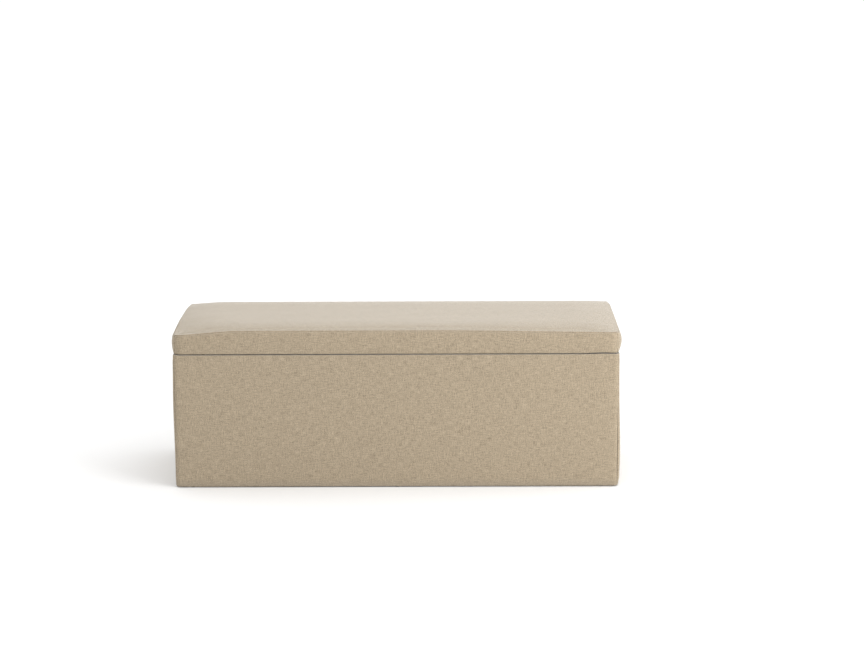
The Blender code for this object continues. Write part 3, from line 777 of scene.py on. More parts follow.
def lid_start():
    """The cover before it swells: the top's grid, and each border's grid from the seam down."""
    xs, ys = both_ways(lid_line(LID_HALF[0])), both_ways(lid_line(LID_HALF[1]))
    x, y = np.meshgrid(xs, ys)
    x, y = rounded(x, y)
    top = np.stack([x, y, LID_EDGE - droop(x, y)], axis=-1)
    edges = {
        "front": top[0], "right": top[:, -1], "back": top[-1, ::-1], "left": top[::-1, 0],
    }
    borders = {}
    for name, edge in edges.items():
        down = np.linspace(0, 1, BAND_ROWS + 1)[:, None]
        rows = np.repeat(edge[None], BAND_ROWS + 1, axis=0)
        rows[..., 2] = edge[None, :, 2] * (1 - down) + (LID_BOTTOM + LID_LOWER_ROUND) * down
        borders[name] = rows
    return top, borders


def cover_topology(shape):
    """The top's edge ring, the ring of points at each level below it, and the faces between them all."""
    top_count = shape[0] * shape[1]
    index = np.arange(top_count).reshape(shape)
    ring = np.concatenate([index[0, :-1], index[:-1, -1], index[-1, :0:-1], index[:0:-1, 0]])
    columns = len(ring)
    lines = [ring] + [top_count + row * columns + np.arange(columns) for row in range(BAND_ROWS)]
    faces = np.stack(
        [index[:-1, :-1], index[:-1, 1:], index[1:, 1:], index[1:, :-1]], axis=-1
    ).reshape(-1, 4).tolist()
    for upper, lower in zip(lines, lines[1:]):
        faces += np.stack([lower, np.roll(lower, -1), np.roll(upper, -1), upper], axis=-1).tolist()
    return top_count, lines, faces


def swell(top, borders):
    """Blows the cover up over its filling with cloth simulation, and limits how far each point moves."""
    shape = top.shape[:2]
    top_count, lines, faces = cover_topology(shape)
    rings = np.concatenate([borders[name][:, :-1] for name in SIDES], axis=1)
    points = np.concatenate([top.reshape(-1, 3), rings[1:].reshape(-1, 3)])

    moved = points.copy()
    mesh = bpy.data.meshes.new("swelling")
    mesh.from_pydata(points.tolist(), [], faces)
    obj = bpy.data.objects.new("swelling", mesh)
    bpy.context.scene.collection.objects.link(obj)
    held = obj.vertex_groups.new(name="held")
    held.add(lines[-1].tolist(), 1.0, "REPLACE")
    cloth = obj.modifiers.new("Cloth", "CLOTH")
    cloth.settings.quality = 6
    cloth.settings.mass = 0.3
    cloth.settings.tension_stiffness = 12
    cloth.settings.compression_stiffness = 12
    cloth.settings.shear_stiffness = 6
    cloth.settings.bending_stiffness = 0.8
    cloth.settings.use_pressure = True
    cloth.settings.uniform_pressure_force = 4.0
    cloth.settings.vertex_group_mass = "held"
    cloth.settings.effector_weights.gravity = 0.0
    cloth.collision_settings.use_collision = False
    cloth.point_cache.frame_start = 1
    cloth.point_cache.frame_end = 20
    for tick in range(1, 21):
        bpy.context.scene.frame_set(tick)
    evaluated = obj.evaluated_get(bpy.context.evaluated_depsgraph_get())
    flat = np.zeros(len(points) * 3, np.float32)
    evaluated.data.vertices.foreach_get("co", flat)
    moved = flat.reshape(-1, 3).astype(float)
    bpy.context.scene.frame_set(1)
    bpy.data.objects.remove(obj, do_unlink=True)
    print("swelling moved by up to", round(float(np.abs(moved - points).max()), 4))

    # The most that each point may move: the crown on top, the bulge on the borders.
    x, y, z = points.T
    across = LID_HALF[0] - np.abs(x)
    deep = LID_HALF[1] - np.abs(y)
    is_top = np.arange(len(points)) < top_count
    crown = CROWN * roll(across, 0.12) * roll(deep, 0.12)
    seam_z = LID_EDGE - droop(x, y)
    low_z = LID_BOTTOM + LID_LOWER_ROUND
    up = np.clip((z - low_z) / (seam_z - low_z), 0, 1)
    belly = 4 * up * (1 - up)
    end_side = across < deep
    near_front = smooth(1 - (y + HALF_D) / 0.30)
    from_corner = smooth(np.maximum(across, deep) / 0.045)
    end_out = np.where(x < 0, 0.0035 + 0.0025 * near_front, 0.0050 + 0.0040 * near_front)
    out = np.where(end_side, end_out, 0.0022)
    sideways = (0.0006 + out * belly) * (0.15 + 0.85 * from_corner)
    sideways = np.where(is_top, 0.0010 * (1 - smooth(np.minimum(across, deep) / 0.03)), sideways)
    shift = moved - points
    # Borders only ever swell outwards, each one away from its own side.
    shift[:, 0] = np.where(is_top, shift[:, 0], np.abs(shift[:, 0]) * np.sign(x) * end_side)
    shift[:, 1] = np.where(is_top, shift[:, 1], np.abs(shift[:, 1]) * np.sign(y) * ~end_side)
    limits = np.stack([sideways, sideways, np.where(is_top, crown, 0.0)], axis=-1)
    shift = limits * np.tanh(shift / np.maximum(limits, 1e-6))
    # The filling is firm, so the top always stands on it: the simulation only varies its height.
    shift[:, 2] = np.where(is_top, CROWN_STATED * crown + (1 - CROWN_STATED) * shift[:, 2], 0.0)
    held_still = np.zeros(len(points), bool)
    held_still[lines[-1]] = True
    shift[held_still] = 0.0
    points = points + shift

    top = points[:top_count].reshape(*shape, 3)
    rings = points[np.array(lines)]
    rings = np.concatenate([rings, rings[:, :1]], axis=1)
    result, start = {}, 0
    for name in SIDES:
        count = borders[name].shape[1] - 1
        result[name] = rings[:, start:start + count + 1]
        start += count
    return top, result


def make_lid_cover():
    top_coarse, borders_coarse = swell(*lid_start())
    rows = finer(top_coarse.shape[0] - 1, edge_cells=1, inner=(0.5,))
    columns = finer(top_coarse.shape[1] - 1, edge_cells=1, inner=(0.5,))
    band_rows = finer(BAND_ROWS, first=(0.05, 0.11, 0.18, 0.28, 0.42, 0.6, 0.8), inner=(0.5,))

    top = upsample(top_coarse, rows, columns)
    top_normal = normals_of(top)
    flat = upsample(lid_start()[0], rows, columns)
    flat_u, flat_v = flat[..., 0], flat[..., 1]
    borders, normals = {}, {}
    for name, coarse in borders_coarse.items():
        along = columns if name in ENDS else rows
        band = upsample(coarse[::-1], BAND_ROWS - band_rows[::-1], along)
        borders[name] = band  # from the bottom up
        normals[name] = normals_of(band)

    # Where two panels meet, both sink in the same direction.
    edge_of = {
        "front": (np.s_[0, :], 1), "right": (np.s_[:, -1], 1),
        "back": (np.s_[-1, :], -1), "left": (np.s_[:, 0], -1),
    }
    seam_out = {}
    for name, (where, order) in edge_of.items():
        direction = top_normal[where][::order] + normals[name][-1]
        seam_out[name] = direction / np.linalg.norm(direction, axis=1, keepdims=True)

    # Top panel
    row_distance = travelled(top, 0)
    column_distance = travelled(top, 1)
    distances = {
        "front": row_distance, "back": row_distance[-1:] - row_distance,
        "left": column_distance, "right": column_distance[:, -1:] - column_distance,
    }
    nearest = np.minimum.reduce(list(distances.values()))
    push = 0.00030 * waves(flat_u, flat_v, 0.22, 41) * smooth(nearest / 0.05)
    push = push + 0.00016 * waves(flat_u, flat_v, 0.07, 42) * smooth(nearest / 0.03)
    pucker = np.exp(-nearest / 0.014) * smooth(nearest / 0.002)
    push = push + 0.00028 * waves(flat_u, flat_v, 0.024, 43) * pucker
    moved = top + push[..., None] * top_normal
    for name, (where, order) in edge_of.items():
        form = seam_form(distances[name], 0.0024, 0.0007, 0.0017)
        out = seam_out[name][::order]
        out = out[None, :, :] if name in ENDS else out[:, None, :]
        moved = moved + form[..., None] * out
    # A corner point lies on two seams, so it sank twice.
    lipped = np.pad(moved, ((1, 1), (1, 1), (0, 0)), mode="edge")
    lip_u = np.pad(flat_u, 1, mode="edge")
    lip_v = np.pad(flat_v, 1, mode="edge")
    down = np.array([0.0, 0.0, -1.0])
    for row, source in ((0, 1), (-1, -2)):
        name = "front" if row == 0 else "back"
        out = np.pad(seam_out[name][::edge_of[name][1]], ((1, 1), (0, 0)), mode="edge")
        lipped[row] = lipped[source] - out * SEAM_LIP * 0.6 + down * 0.0002
        lip_v[row] += -SEAM_LIP if row == 0 else SEAM_LIP
    for column, source in ((0, 1), (-1, -2)):
        name = "left" if column == 0 else "right"
        out = np.pad(seam_out[name][::edge_of[name][1]], ((1, 1), (0, 0)), mode="edge")
        lipped[:, column] = lipped[:, source] - out * SEAM_LIP * 0.6
        lip_u[:, column] += -SEAM_LIP if column == 0 else SEAM_LIP
    mesh = grid_mesh("lid_top_panel", [(lipped, lip_u, lip_v)])
    top_panel = new_piece(
        "lid_top_panel", mesh, "lid", ["lid_cover_top"], MATERIALS["upholstery"]
    )
    thicken(top_panel, CLOTH * 0.6)

    # Border panels
    for number, name in enumerate(borders):
        band, normal = borders[name], normals[name]
        side = Side(name, *LID_INSET, LID_CORNER)
        along = columns if name in ENDS else rows
        coarse_line = both_ways(lid_line(side.half))
        place = np.interp(along, np.arange(len(coarse_line)), coarse_line)
        straight = side.half - side.corner
        share = np.clip((np.abs(place) - straight) / side.corner, 0, 1)
        phi = np.sign(place) * np.arcsin(share / math.sqrt(2))
        u = np.clip(place, -straight, straight)
        from_top = travelled(band[::-1], 0)[::-1]
        from_left = travelled(band, 1)
        from_right = from_left[:, -1:] - from_left
        low = from_top[:1] - from_top
        flat_along = u + phi * side.corner
        out_dir = side.outward(phi)

        face = smooth(from_top / 0.012) * smooth(low / 0.012)
        fade = smooth(np.minimum(from_left, from_right) / 0.03)
        push = 0.00030 * waves(flat_along[None, :], low, 0.16, 60 + number) * face * fade
        pucker = np.exp(-from_top / 0.012) * smooth(from_top / 0.002)
        push = push + 0.00024 * waves(flat_along[None, :], low * 0.2, 0.024, 70 + number) * pucker
        pucker = np.exp(-low / 0.014)
        push = push + 0.00022 * waves(flat_along[None, :], low * 0.2, 0.034, 80 + number) * pucker
        moved = band + push[..., None] * normal
        top_form = seam_form(from_top, 0.0024, 0.0003, 0.0017)
        moved = moved + top_form[..., None] * seam_out[name][None, :, :]
        stitches = 1 + 0.25 * np.sin(math.tau * low / 0.0046)
        for distance, column in ((from_left, 0), (from_right, -1)):
            form = seam_form(distance, 0.0013, 0.0004) * stitches * smooth(from_top / 0.006)
            moved = moved + form[..., None] * out_dir[column]

        # Under the lid: a rounded lower edge, and cloth turned in over the board.
        base_along, base_out = side.local(u, phi, 0.0)
        base_line = side.world(base_along, base_out, 0.0 * u)
        lower = []
        profile = [(LID_LOWER_ROUND * (1 - math.cos(a)), -LID_LOWER_ROUND * math.sin(a))
                   for a in np.linspace(0, math.pi / 2, 8)[1:]]
        returns = np.linspace(LID_LOWER_ROUND + 0.001, LID_RETURN, 6)
        profile += [(inset, -LID_LOWER_ROUND) for inset in returns]
        for inset, drop in reversed(profile):
            new_along, new_out = side.local(u, phi, inset)
            shift = side.world(new_along, new_out, 0.0 * u) - base_line
            keep = smooth(1 - inset / LID_LOWER_ROUND)
            anchor = band[0] + (moved[0] - band[0]) * keep
            row = anchor + shift
            row[:, 2] = band[0][:, 2] + drop
            if name == "front":
                row[:, 2] += LID_RUCK * rucked(row[:, 0]) * smooth(1 - (inset - 0.001) / 0.0035)
            lower.append(row)
        if name == "front":
            moved[..., 2] += LID_RUCK * rucked(moved[..., 0]) * smooth(1 - low / 0.022)
        points = np.concatenate([np.array(lower), moved], axis=0)
        heights = np.concatenate([
            -np.array([inset - drop for inset, drop in reversed(profile)]), low[:, len(u) // 2]
        ])
        # Lips behind the seam with the top panel and the two corner seams.
        upper = points[-1:] - seam_out[name][None] * SEAM_LIP * 0.6
        points = np.concatenate([points, upper], axis=0)
        heights = np.append(heights, heights[-1] + SEAM_LIP)
        ends = []
        for column in (0, -1):
            tangent = np.cross(out_dir[column], [0, 0, 1]) * math.copysign(1.0, phi[column])
            ends.append(points[:, [column]] - SEAM_LIP * out_dir[column] + 0.0006 * tangent)
        points = np.concatenate([ends[0], points, ends[1]], axis=1)
        flat_along = np.concatenate(
            [[flat_along[0] - SEAM_LIP], flat_along, [flat_along[-1] + SEAM_LIP]]
        )
        uu, vv = np.broadcast_arrays(flat_along[None, :], heights[:, None])
        mesh = grid_mesh(f"lid_border_panel_{name}", [(points, uu, vv)])
        obj = new_piece(
            f"lid_border_panel_{name}", mesh, "lid", [f"lid_border_{name}"],
            MATERIALS["upholstery"],
        )
        thicken(obj, CLOTH * 0.7)
    return top_coarse, borders_coarse


def inner_layer(name, replaced, slot, top, borders, inset, bottom, shell=None):
    """Wadding or foam inside the cover: the cover's own form, set in, and cut off at a lower height."""
    _, lines, faces = cover_topology(top.shape[:2])
    ring = lines[0]
    rings = np.concatenate([borders[side][:, :-1] for side in SIDES], axis=1)
    centre = np.array([1 - inset / HALF_W, 1 - inset / HALF_D])
    inner_top = top.copy()
    edge = np.minimum(LID_HALF[0] - np.abs(top[..., 0]), LID_HALF[1] - np.abs(top[..., 1]))
    inner_top[..., :2] *= centre
    inner_top[..., 2] -= inset + 0.0035 * np.exp(-np.maximum(edge, 0) / 0.012)
    levels = []
    for share in np.linspace(0, 1, BAND_ROWS + 1)[1:]:
        mid = rings[round(share * BAND_ROWS)].copy()
        mid[:, :2] *= centre
        top_z = inner_top.reshape(-1, 3)[ring][:, 2]
        mid[:, 2] = top_z * (1 - share) + bottom * share
        levels.append(mid)
    points = np.concatenate([inner_top.reshape(-1, 3)] + levels)
    if shell is None:
        faces.append(lines[-1][::-1].tolist())
    mesh = bpy.data.meshes.new(name)
    mesh.from_pydata(points.tolist(), [], faces)
    mesh.polygons.foreach_set("use_smooth", np.ones(len(mesh.polygons), bool))
    mesh.update()
    obj = new_piece(name, mesh, "lid", [replaced], MATERIALS[slot])
    if shell:
        thicken(obj, shell)
    return obj


lid_top, lid_borders = make_lid_cover()
inner_layer("lid_wadding_wrap", "lid_wadding", "wadding", lid_top, lid_borders, 0.0024, 0.4010, shell=0.003)
inner_layer("lid_foam_block", "lid_foam", "foam", lid_top, lid_borders, 0.0068, 0.4190)


# ---------------------------------------------------------------- linings and dust cover

def rectangle_sheet(half_x, half_y, z, facing, height, columns, rows):
    """A flat sheet with an even grid. facing is 1 when it is seen from above and -1 from below; height
    gives each point's rise over z."""
    x = np.linspace(-half_x, half_x, columns)[None, :]
    y = np.linspace(-half_y, half_y, rows)[:, None]
    x, y = np.broadcast_arrays(x, y)
    points = np.stack([x, y, z + height(x, y)], axis=-1)
    if facing < 0:
        points, x = points[:, ::-1], x[:, ::-1]
    return points, x, y


def make_lid_lining():
    low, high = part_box("lid_lining")
    half_x, half_y = high.x, high.y

    def height(x, y):
        edge = np.minimum(half_x - np.abs(x), half_y - np.abs(y))
        fold = -0.0002 * np.exp(-((edge - 0.009) / 0.004) ** 2)
        sag = -0.0009 * smooth(edge / 0.12) * smooth((0.50 - np.abs(x)) / 0.10)
        ripple = -0.00012 * (1 + waves(x, y, 0.05, 201)) * np.exp(-edge / 0.03)
        slow = -0.0003 * (1 + waves(x, y, 0.18, 202)) * smooth(edge / 0.05)
        slow = slow * smooth((0.56 - np.abs(x)) / 0.05)
        return fold + sag + ripple * smooth(edge / 0.004) + slow

    points, u, v = rectangle_sheet(half_x, half_y, low.z, -1, height, 190, 72)
    mesh = grid_mesh("lid_lining_panel", [(points, u, v)])
    obj = new_piece("lid_lining_panel", mesh, "lid", ["lid_lining"], MATERIALS["lining"])
    thicken(obj, 0.0007)


def make_dust_cover():
    low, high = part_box("dust_cover")
    half_x, half_y = high.x, high.y

    def height(x, y):
        edge = np.minimum(half_x - np.abs(x), half_y - np.abs(y))
        bay = np.abs(np.abs(x) - 0.30)
        sag = -0.0016 * smooth((0.20 - bay) / 0.15) * smooth((half_y - 0.05 - np.abs(y)) / 0.09)
        ripple = 0.00025 * waves(x, y, 0.045, 211) * np.exp(-edge / 0.035) * smooth(edge / 0.006)
        return sag - np.abs(ripple)

    points, u, v = rectangle_sheet(half_x, half_y, low.z, -1, height, 150, 60)
    mesh = grid_mesh("underside_dust_cover", [(points, u, v)])
    obj = new_piece(
        "underside_dust_cover", mesh, "base", ["dust_cover"], MATERIALS["dust_cover"]
    )
    thicken(obj, 0.0006)


def make_compartment_lining():
    """Walls and floor of the compartment: one cloth box with seams up its chamfered corners."""
    low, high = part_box("base_lining")
    chamfer = 0.0183
    corners = []
    for x, y, first in ((1, -1, "x"), (1, 1, "y"), (-1, 1, "x"), (-1, -1, "y")):
        along_x = (x * (high.x - chamfer), y * high.y)
        along_y = (x * high.x, y * (high.y - chamfer))
        corners += [along_x, along_y] if first == "x" else [along_y, along_x]
    places, inward = [], []
    for start, end in zip(corners, corners[1:] + corners[:1]):
        start, end = np.array(start), np.array(end)
        span = np.linalg.norm(end - start)
        count = max(4, round(span / 0.012))
        # Face inwards: the path runs anticlockwise, so its left side is the compartment.
        direction = (end - start) / span
        normal = np.array([-direction[1], direction[0]])
        share = np.linspace(0, 1, count + 1)[:-1]
        places.append(start + (end - start) * share[:, None])
        inward.append(np.repeat(normal[None], count, axis=0))
    path = np.concatenate(places)
    inward = np.concatenate(inward)
    inward = inward + np.roll(inward, 1, axis=0)
    inward /= np.linalg.norm(inward, axis=1, keepdims=True)
    path = np.concatenate([path, path[:1]])
    inward = np.concatenate([inward, inward[:1]])
    around = np.concatenate([[0], np.cumsum(np.linalg.norm(np.diff(path, axis=0), axis=1))])

    z = np.concatenate([
        np.linspace(low.z, low.z + 0.012, 4)[:-1],
        np.linspace(low.z + 0.012, high.z - 0.016, 34),
        high.z - np.array([0.0135, 0.012, 0.011, 0.0095, 0.006, 0.0025, 0.0008, 0.0]),
    ])[:, None]
    up = (z - low.z) / (high.z - low.z)
    near_bracket = np.exp(
        -((np.abs(path[None, :, 1] - 0.189) / 0.045) ** 2) - ((z - 0.195) / 0.06) ** 2
    ) * (np.abs(path[None, :, 0]) > 0.6)
    free = smooth(up / 0.06) * smooth((1 - up) / 0.10) * (1 - near_bracket)
    s = around[None, :]
    push = 0.0008 + 0.0007 * waves(s, z * 0.35, 0.13, 221) * free
    push = push + 0.0004 * waves(s, z * 0.2, 0.05, 222) * free
    push = np.maximum(push, 0.0008)
    hem = 0.0007 * smooth((z - (high.z - 0.0125)) / 0.0012) * smooth((high.z - z) / 0.001 + 0.2)
    push = push + hem
    points = np.empty((len(z), len(path), 3))
    points[..., :2] = path[None] + push[..., None] * inward[None]
    points[..., 2] = z
    # Columns run so that the cloth faces the compartment.
    walls = points[:, ::-1]
    wall_u, wall_v = np.broadcast_arrays(around[None, ::-1], z)

    inset = 0.0012
    half_x, half_y = high.x - inset, high.y - inset
    x = np.linspace(-half_x, half_x, 150)[None, :]
    y = np.linspace(-half_y, half_y, 54)[:, None]
    x, y = np.broadcast_arrays(x, y)
    excess = np.maximum(np.abs(x) + np.abs(y) - (half_x + half_y - chamfer), 0)
    x = x - np.sign(x) * excess / 2
    y = y - np.sign(y) * excess / 2
    edge = np.minimum(half_x - np.abs(x), half_y - np.abs(y))
    rise = 0.0008 + 0.0006 * (1 + waves(x, y, 0.16, 231)) * smooth(edge / 0.04)
    rise = rise + 0.0003 * (1 + waves(x, y, 0.05, 232)) * smooth(edge / 0.02)
    floor = np.stack([x, y, low.z + rise], axis=-1)
    mesh = grid_mesh("compartment_lining", [(walls, wall_u, wall_v), (floor, x, y)])
    obj = new_piece(
        "compartment_lining", mesh, "base", ["base_lining"], MATERIALS["lining"]
    )
    thicken(obj, 0.0007)


make_lid_lining()
make_dust_cover()
make_compartment_lining()


# ---------------------------------------------------------------- hardware

def turned_mesh(name, profile, segments):
    """A profile of (radius, height) points turned about Z. It runs down the outer side."""
    bm = bmesh.new()
    rings = []
    for radius, height in profile:
        if radius < 1e-7:
            rings.append([bm.verts.new((0, 0, height))])
        else:
            rings.append([
                bm.verts.new((radius * math.cos(a), radius * math.sin(a), height))
                for a in np.linspace(0, math.tau, segments, endpoint=False)
            ])
    for upper, lower in zip(rings, rings[1:]):
        for k in range(segments):
            n = (k + 1) % segments
            corners = [upper[k % len(upper)], lower[k % len(lower)]]
            if len(lower) > 1:
                corners.append(lower[n])
            if len(upper) > 1:
                corners.append(upper[n])
            if len(corners) > 2:
                bm.faces.new(corners)
    bmesh.ops.recalc_face_normals(bm, faces=bm.faces)
    mesh = bpy.data.meshes.new(name)
    bm.to_mesh(mesh)
    bm.free()
    mesh.shade_smooth()
    mesh.set_sharp_from_angle(angle=math.radians(35))
    return mesh


def screw_head(bm, centre, outward, radius, turn):
    """A countersunk head with a cross recess, its face nearly flush with the plate it holds."""
    outward = Vector(outward).normalized()
    frame_matrix = outward.to_track_quat("Z", "Y").to_matrix().to_4x4()
    place = Matrix.Translation(Vector(centre)) @ frame_matrix @ Matrix.Rotation(turn, 4, "Z")
    arm, half = radius * 0.62, radius * 0.13
    segments = 24
    rim = [
        (radius * math.cos(a), radius * math.sin(a))
        for a in np.linspace(0, math.tau, segments, endpoint=False)
    ]
    cross = [
        (arm, -half), (arm, half), (half, half), (half, arm), (-half, arm), (-half, half),
        (-arm, half), (-arm, -half), (-half, -half), (-half, -arm), (half, -arm), (half, -half),
    ]
    lift = radius * 0.02
    outer_low = [bm.verts.new(place @ Vector((x, y, -radius * 0.25))) for x, y in rim]
    outer = [bm.verts.new(place @ Vector((x, y, 0))) for x, y in rim]
    bezel = [bm.verts.new(place @ Vector((x * 0.93, y * 0.93, lift))) for x, y in rim]
    recess = [bm.verts.new(place @ Vector((x, y, lift))) for x, y in cross]
    recess_low = [bm.verts.new(place @ Vector((x * 0.7, y * 0.7, -radius * 0.35))) for x, y in cross]
    for upper, lower in ((outer, outer_low), (bezel, outer)):
        for k in range(segments):
            n = (k + 1) % segments
            bm.faces.new([lower[k], lower[n], upper[n], upper[k]])
    for k in range(12):  # each point of the cross takes two of the rim's spans
        n = (k + 1) % 12
        rim_start = (2 * k - 1) % segments
        mid, end = (rim_start + 1) % segments, (rim_start + 2) % segments
        bm.faces.new([recess[k], bezel[rim_start], bezel[mid]])
        bm.faces.new([recess[k], bezel[mid], bezel[end]])
        bm.faces.new([recess[k], bezel[end], recess[n]])
        bm.faces.new([recess[n], recess_low[n], recess_low[k], recess[k]])
    bm.faces.new(recess_low)


def make_screws(name, body, heads):
    bm = bmesh.new()
    for number, (centre, outward, radius) in enumerate(heads):
        screw_head(bm, centre, outward, radius, 0.7 * number)
    bmesh.ops.recalc_face_normals(bm, faces=bm.faces)
    mesh = bpy.data.meshes.new(name)
    bm.to_mesh(mesh)
    bm.free()
    mesh.shade_smooth()
    mesh.set_sharp_from_angle(angle=math.radians(40))
    return new_piece(name, mesh, body, material=MATERIALS["hinge_steel"])


def make_hinge_screws():
    base_heads, lid_heads = [], []
    for place in THIRDS:
        low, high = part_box(f"hinge_base_leaf_{place}")
        middle = (low.x + high.x) / 2
        for offset, y in ((-0.021, 0.2262), (0.0, 0.2235), (0.021, 0.2262)):
            base_heads.append(((middle + offset, y, BASE_TOP + 0.0013), (0, 0, 1), 0.0034))
            lid_heads.append(((middle + offset * 0.72, y + 0.0004, LID_BOTTOM - 0.0013), (0, 0, -1), 0.0034))
    make_screws("hinge_screws_base", "base", base_heads)
    make_screws("hinge_screws_lid", "lid", lid_heads)


def make_bracket_screws():
    base_heads, lid_heads = [], []
    for hand, sign in HANDS.items():
        low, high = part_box(f"strut_base_bracket_{hand}")
        plate_face = 0.6240
        middle_y, middle_z = (low.y + high.y) / 2, (low.z + high.z) / 2
        for offset in (-0.0145, 0.0145):
            base_heads.append(((sign * plate_face, middle_y, middle_z + offset), (-sign, 0, 0), 0.0038))
        low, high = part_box(f"strut_lid_bracket_{hand}")
        flange_x = 0.5958 - 0.0125
        middle_y = (low.y + high.y) / 2
        for offset in (-0.0065, 0.0065):
            lid_heads.append(((sign * flange_x, middle_y + offset, LID_BOTTOM - 0.0023), (0, 0, -1), 0.0036))
    make_screws("bracket_screws_base", "base", base_heads)
    make_screws("bracket_screws_lid", "lid", lid_heads)


STRUT_ARM = 0.210
OPEN_ANGLE = math.radians(80)
LID_BALL_ANGLE = math.radians(5)
STRUT_X = 0.6118


def strut_points(sign):
    hinge = next(j for j in frame["joints"] if j["name"] == "lid_hinge")
    axis_y, axis_z = hinge["pos_m"][1], hinge["pos_m"][2]

    def on_arc(angle):
        return Vector((
            sign * STRUT_X, axis_y - STRUT_ARM * math.cos(angle), axis_z - STRUT_ARM * math.sin(angle)
        ))

    return on_arc(OPEN_ANGLE - LID_BALL_ANGLE), on_arc(LID_BALL_ANGLE)


def make_struts():
    for hand, sign in HANDS.items():
        base_ball, lid_ball = strut_points(sign)
        tilt = Matrix.Rotation(OPEN_ANGLE / 2, 4, "X")
        start, end = 0.012, 0.2219
        body = [
            (0.0, end - 0.0006), (0.0046, end - 0.0006), (0.0050, end), (0.0072, end), (0.0083, end - 0.0006),
            (0.0089, end - 0.0018), (0.0090, end - 0.0030), (0.0090, end - 0.0085), (0.0087, end - 0.0092),
            (0.0084, end - 0.0100), (0.0084, end - 0.0110), (0.0087, end - 0.0118), (0.0090, end - 0.0125),
            (0.0090, start + 0.0040), (0.0088, start + 0.0018), (0.0082, start + 0.0006), (0.0072, start),
            (0.0062, start), (0.0, start),
        ]
        mesh = turned_mesh(f"strut_tube_{hand}", body, 56)
        mesh.transform(Matrix.Translation(base_ball) @ tilt)
        new_piece(
            f"strut_tube_{hand}", mesh, f"strut_cylinder_{hand}",
            [f"strut_cylinder_{hand}"], MATERIALS["strut_black"],
        )
        rod_low = -0.2159
        rod = [
            (0.0, -0.014), (0.0036, -0.014), (0.0040, -0.0146), (0.0040, rod_low + 0.010),
            (0.0072, rod_low + 0.0096), (0.0072, rod_low + 0.0022), (0.0066, rod_low + 0.0016),
            (0.0, rod_low + 0.0016),
        ]
        mesh = turned_mesh(f"strut_shaft_{hand}", rod, 40)
        mesh.transform(Matrix.Translation(lid_ball) @ tilt)
        new_piece(
            f"strut_shaft_{hand}", mesh, f"strut_rod_{hand}",
            [f"strut_rod_{hand}"], MATERIALS["strut_chrome"],
        )
        for ball, body_name, label, side in (
            (base_ball, f"strut_cylinder_{hand}", "lower", -sign),
            (lid_ball, f"strut_rod_{hand}", "upper", sign),
        ):
            place = Matrix.Translation(ball) @ tilt
            make_clip(f"strut_clip_{label}_{hand}", place, body_name, side)


def make_clip(name, place, body, side):
    """The sprung wire that keeps a ball in its socket: a loop over the socket's closed face."""
    curve = bpy.data.curves.new(name, "CURVE")
    curve.dimensions = "3D"
    curve.bevel_depth = 0.00045
    curve.bevel_resolution = 3
    spline = curve.splines.new("POLY")
    points = []
    for angle in np.linspace(-2.2, 2.2, 31):
        points.append((side * 0.0073, 0.0066 * math.sin(angle), -0.0066 * math.cos(angle)))
    spline.points.add(len(points) - 1)
    for point, co in zip(spline.points, points):
        point.co = (*co, 1.0)
    obj = bpy.data.objects.new(name, curve)
    obj.matrix_world = place
    bpy.context.scene.collection.objects.link(obj)
    curve.materials.append(MATERIALS["hinge_steel"])
    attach(obj, body)
    return obj


def make_feet_and_buffers():
    for end in ENDS:
        for place in THIRDS:
            node = f"glide_{end}_{place}"
            low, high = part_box(node)
            radius, height = (high.x - low.x) / 2, high.z
            profile = [
                (0.0, height), (radius, height), (radius, 0.0024), (radius - 0.0003, 0.0014),
                (radius - 0.0009, 0.0006), (radius - 0.0018, 0.0001), (radius - 0.0026, 0.0), (0.0, 0.0),
            ]
            mesh = turned_mesh(f"foot_{end}_{place}", profile, 40)
            mesh.transform(Matrix.Translation(((low.x + high.x) / 2, (low.y + high.y) / 2, 0)))
            new_piece(f"foot_{end}_{place}", mesh, "base", [node], MATERIALS["glide_plastic"])
    for hand in HANDS:
        node = f"lid_buffer_{hand}"
        low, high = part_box(node)
        radius, height = (high.x - low.x) / 2, high.z - low.z
        profile = [
            (0.0, height), (0.0022, height), (0.0034, height - 0.0002), (0.0040, height - 0.0006),
            (0.0044, height - 0.0012), (radius, 0.0002), (radius - 0.0001, 0.0), (0.0, 0.0),
        ]
        mesh = turned_mesh(f"landing_pad_{hand}", profile, 32)
        mesh.transform(Matrix.Translation(((low.x + high.x) / 2, (low.y + high.y) / 2, low.z)))
        new_piece(
            f"landing_pad_{hand}", mesh, "base", [node], MATERIALS["buffer_rubber"]
        )


make_hinge_screws()
make_bracket_screws()
make_struts()
make_feet_and_buffers()

SLOT_OF = {part["node"]: part["material_slot"] for part in frame["record"]["subparts"]}
for node_name, node in NODES.items():
    if node.hide_render:
        continue
    slot_name = SLOT_OF[node_name]
    for slot_holder in node.material_slots:
        slot_holder.material = MATERIALS[slot_name]
    if slot_name == "hinge_steel":
        bevel(node, 0.00025, 2)
    elif slot_name == "socket_plastic":
        bevel(node, 0.0006, 3, 40)
    elif slot_name in ("board", "timber"):
        bevel(node, 0.0008, 1)


# ---------------------------------------------------------------- stage, light and camera

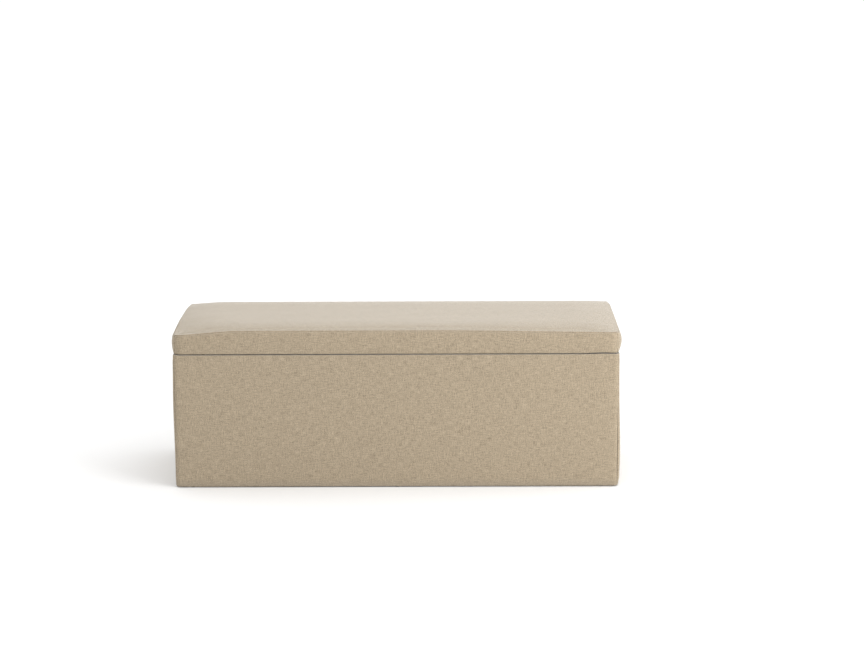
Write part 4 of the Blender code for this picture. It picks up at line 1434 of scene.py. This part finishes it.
def make_stage():
    floor_material = Shader("studio_floor", (0.93, 0.93, 0.93), 0.9, Specular_IOR_Level=0.0)
    place = floor_material.place()
    away = floor_material.node("ShaderNodeVectorMath", {0: place}, output=1, operation="LENGTH")
    # Painted shade: the floor is darker within about 1.6 m of the bench (0.85 near it, 0.95 beyond), which deepens
    # its shadow; a faint random mottle besides.
    soft = floor_material.spread(floor_material.noise(place, 2.0, 2.0), 0.3, 0.7, 0.99, 1.0)
    soft = floor_material.math("MULTIPLY", soft, floor_material.spread(away, 0.5, 1.6, 0.85, 0.95))
    floor_material.set("Base Color", floor_material.vector(soft, soft, soft))
    bm = bmesh.new()
    bmesh.ops.create_grid(bm, x_segments=8, y_segments=8, size=150.0)
    mesh = bpy.data.meshes.new("studio_floor")
    bm.to_mesh(mesh)
    bm.free()
    mesh.materials.append(floor_material.material)
    floor = bpy.data.objects.new("studio_floor", mesh)
    bpy.context.scene.collection.objects.link(floor)


def area_light(name, location, target, size, power, colour=(1, 1, 1)):
    data = bpy.data.lights.new(name, "AREA")
    data.shape = "RECTANGLE"
    data.size, data.size_y = size
    data.energy = power
    data.color = colour
    light = bpy.data.objects.new(name, data)
    light.location = location
    light.rotation_euler = (Vector(target) - Vector(location)).to_track_quat("-Z", "Y").to_euler()
    bpy.context.scene.collection.objects.link(light)
    return light


def make_light():
    world = bpy.data.worlds.new("studio")
    world.use_nodes = True
    background = world.node_tree.nodes["Background"]
    background.inputs["Color"].default_value = (1.0, 1.0, 1.0, 1.0)
    background.inputs["Strength"].default_value = 1.1
    bpy.context.scene.world = world
    area_light("overhead", (0.5, 0.4, 3.2), (0, 0, 0.2), (3.5, 2.5), 18, (1.0, 0.995, 0.985))
    area_light("right", (3.6, -2.6, 1.6), (0.2, 0, 0.25), (3.0, 2.4), 142, (1.0, 0.995, 0.985))
    view = bpy.context.scene.view_settings
    view.view_transform = "Standard"
    view.look = "None"
    view.exposure = 0.0
    view.gamma = 1.0


def make_camera():
    data = bpy.data.cameras.new("camera")
    data.sensor_width = 36.0
    data.lens = 94.05
    data.clip_end = 100.0
    camera = bpy.data.objects.new("camera", data)
    camera.location = (0.1590, -6.65, 1.728)
    turn = Matrix.Rotation(math.radians(0.48), 3, "Z") @ Matrix.Rotation(math.radians(90 - 11.03), 3, "X")
    camera.rotation_euler = (turn @ Matrix.Rotation(math.radians(-0.28), 3, "Z")).to_euler()
    bpy.context.scene.collection.objects.link(camera)
    bpy.context.scene.camera = camera


make_stage()
make_light()
make_camera()
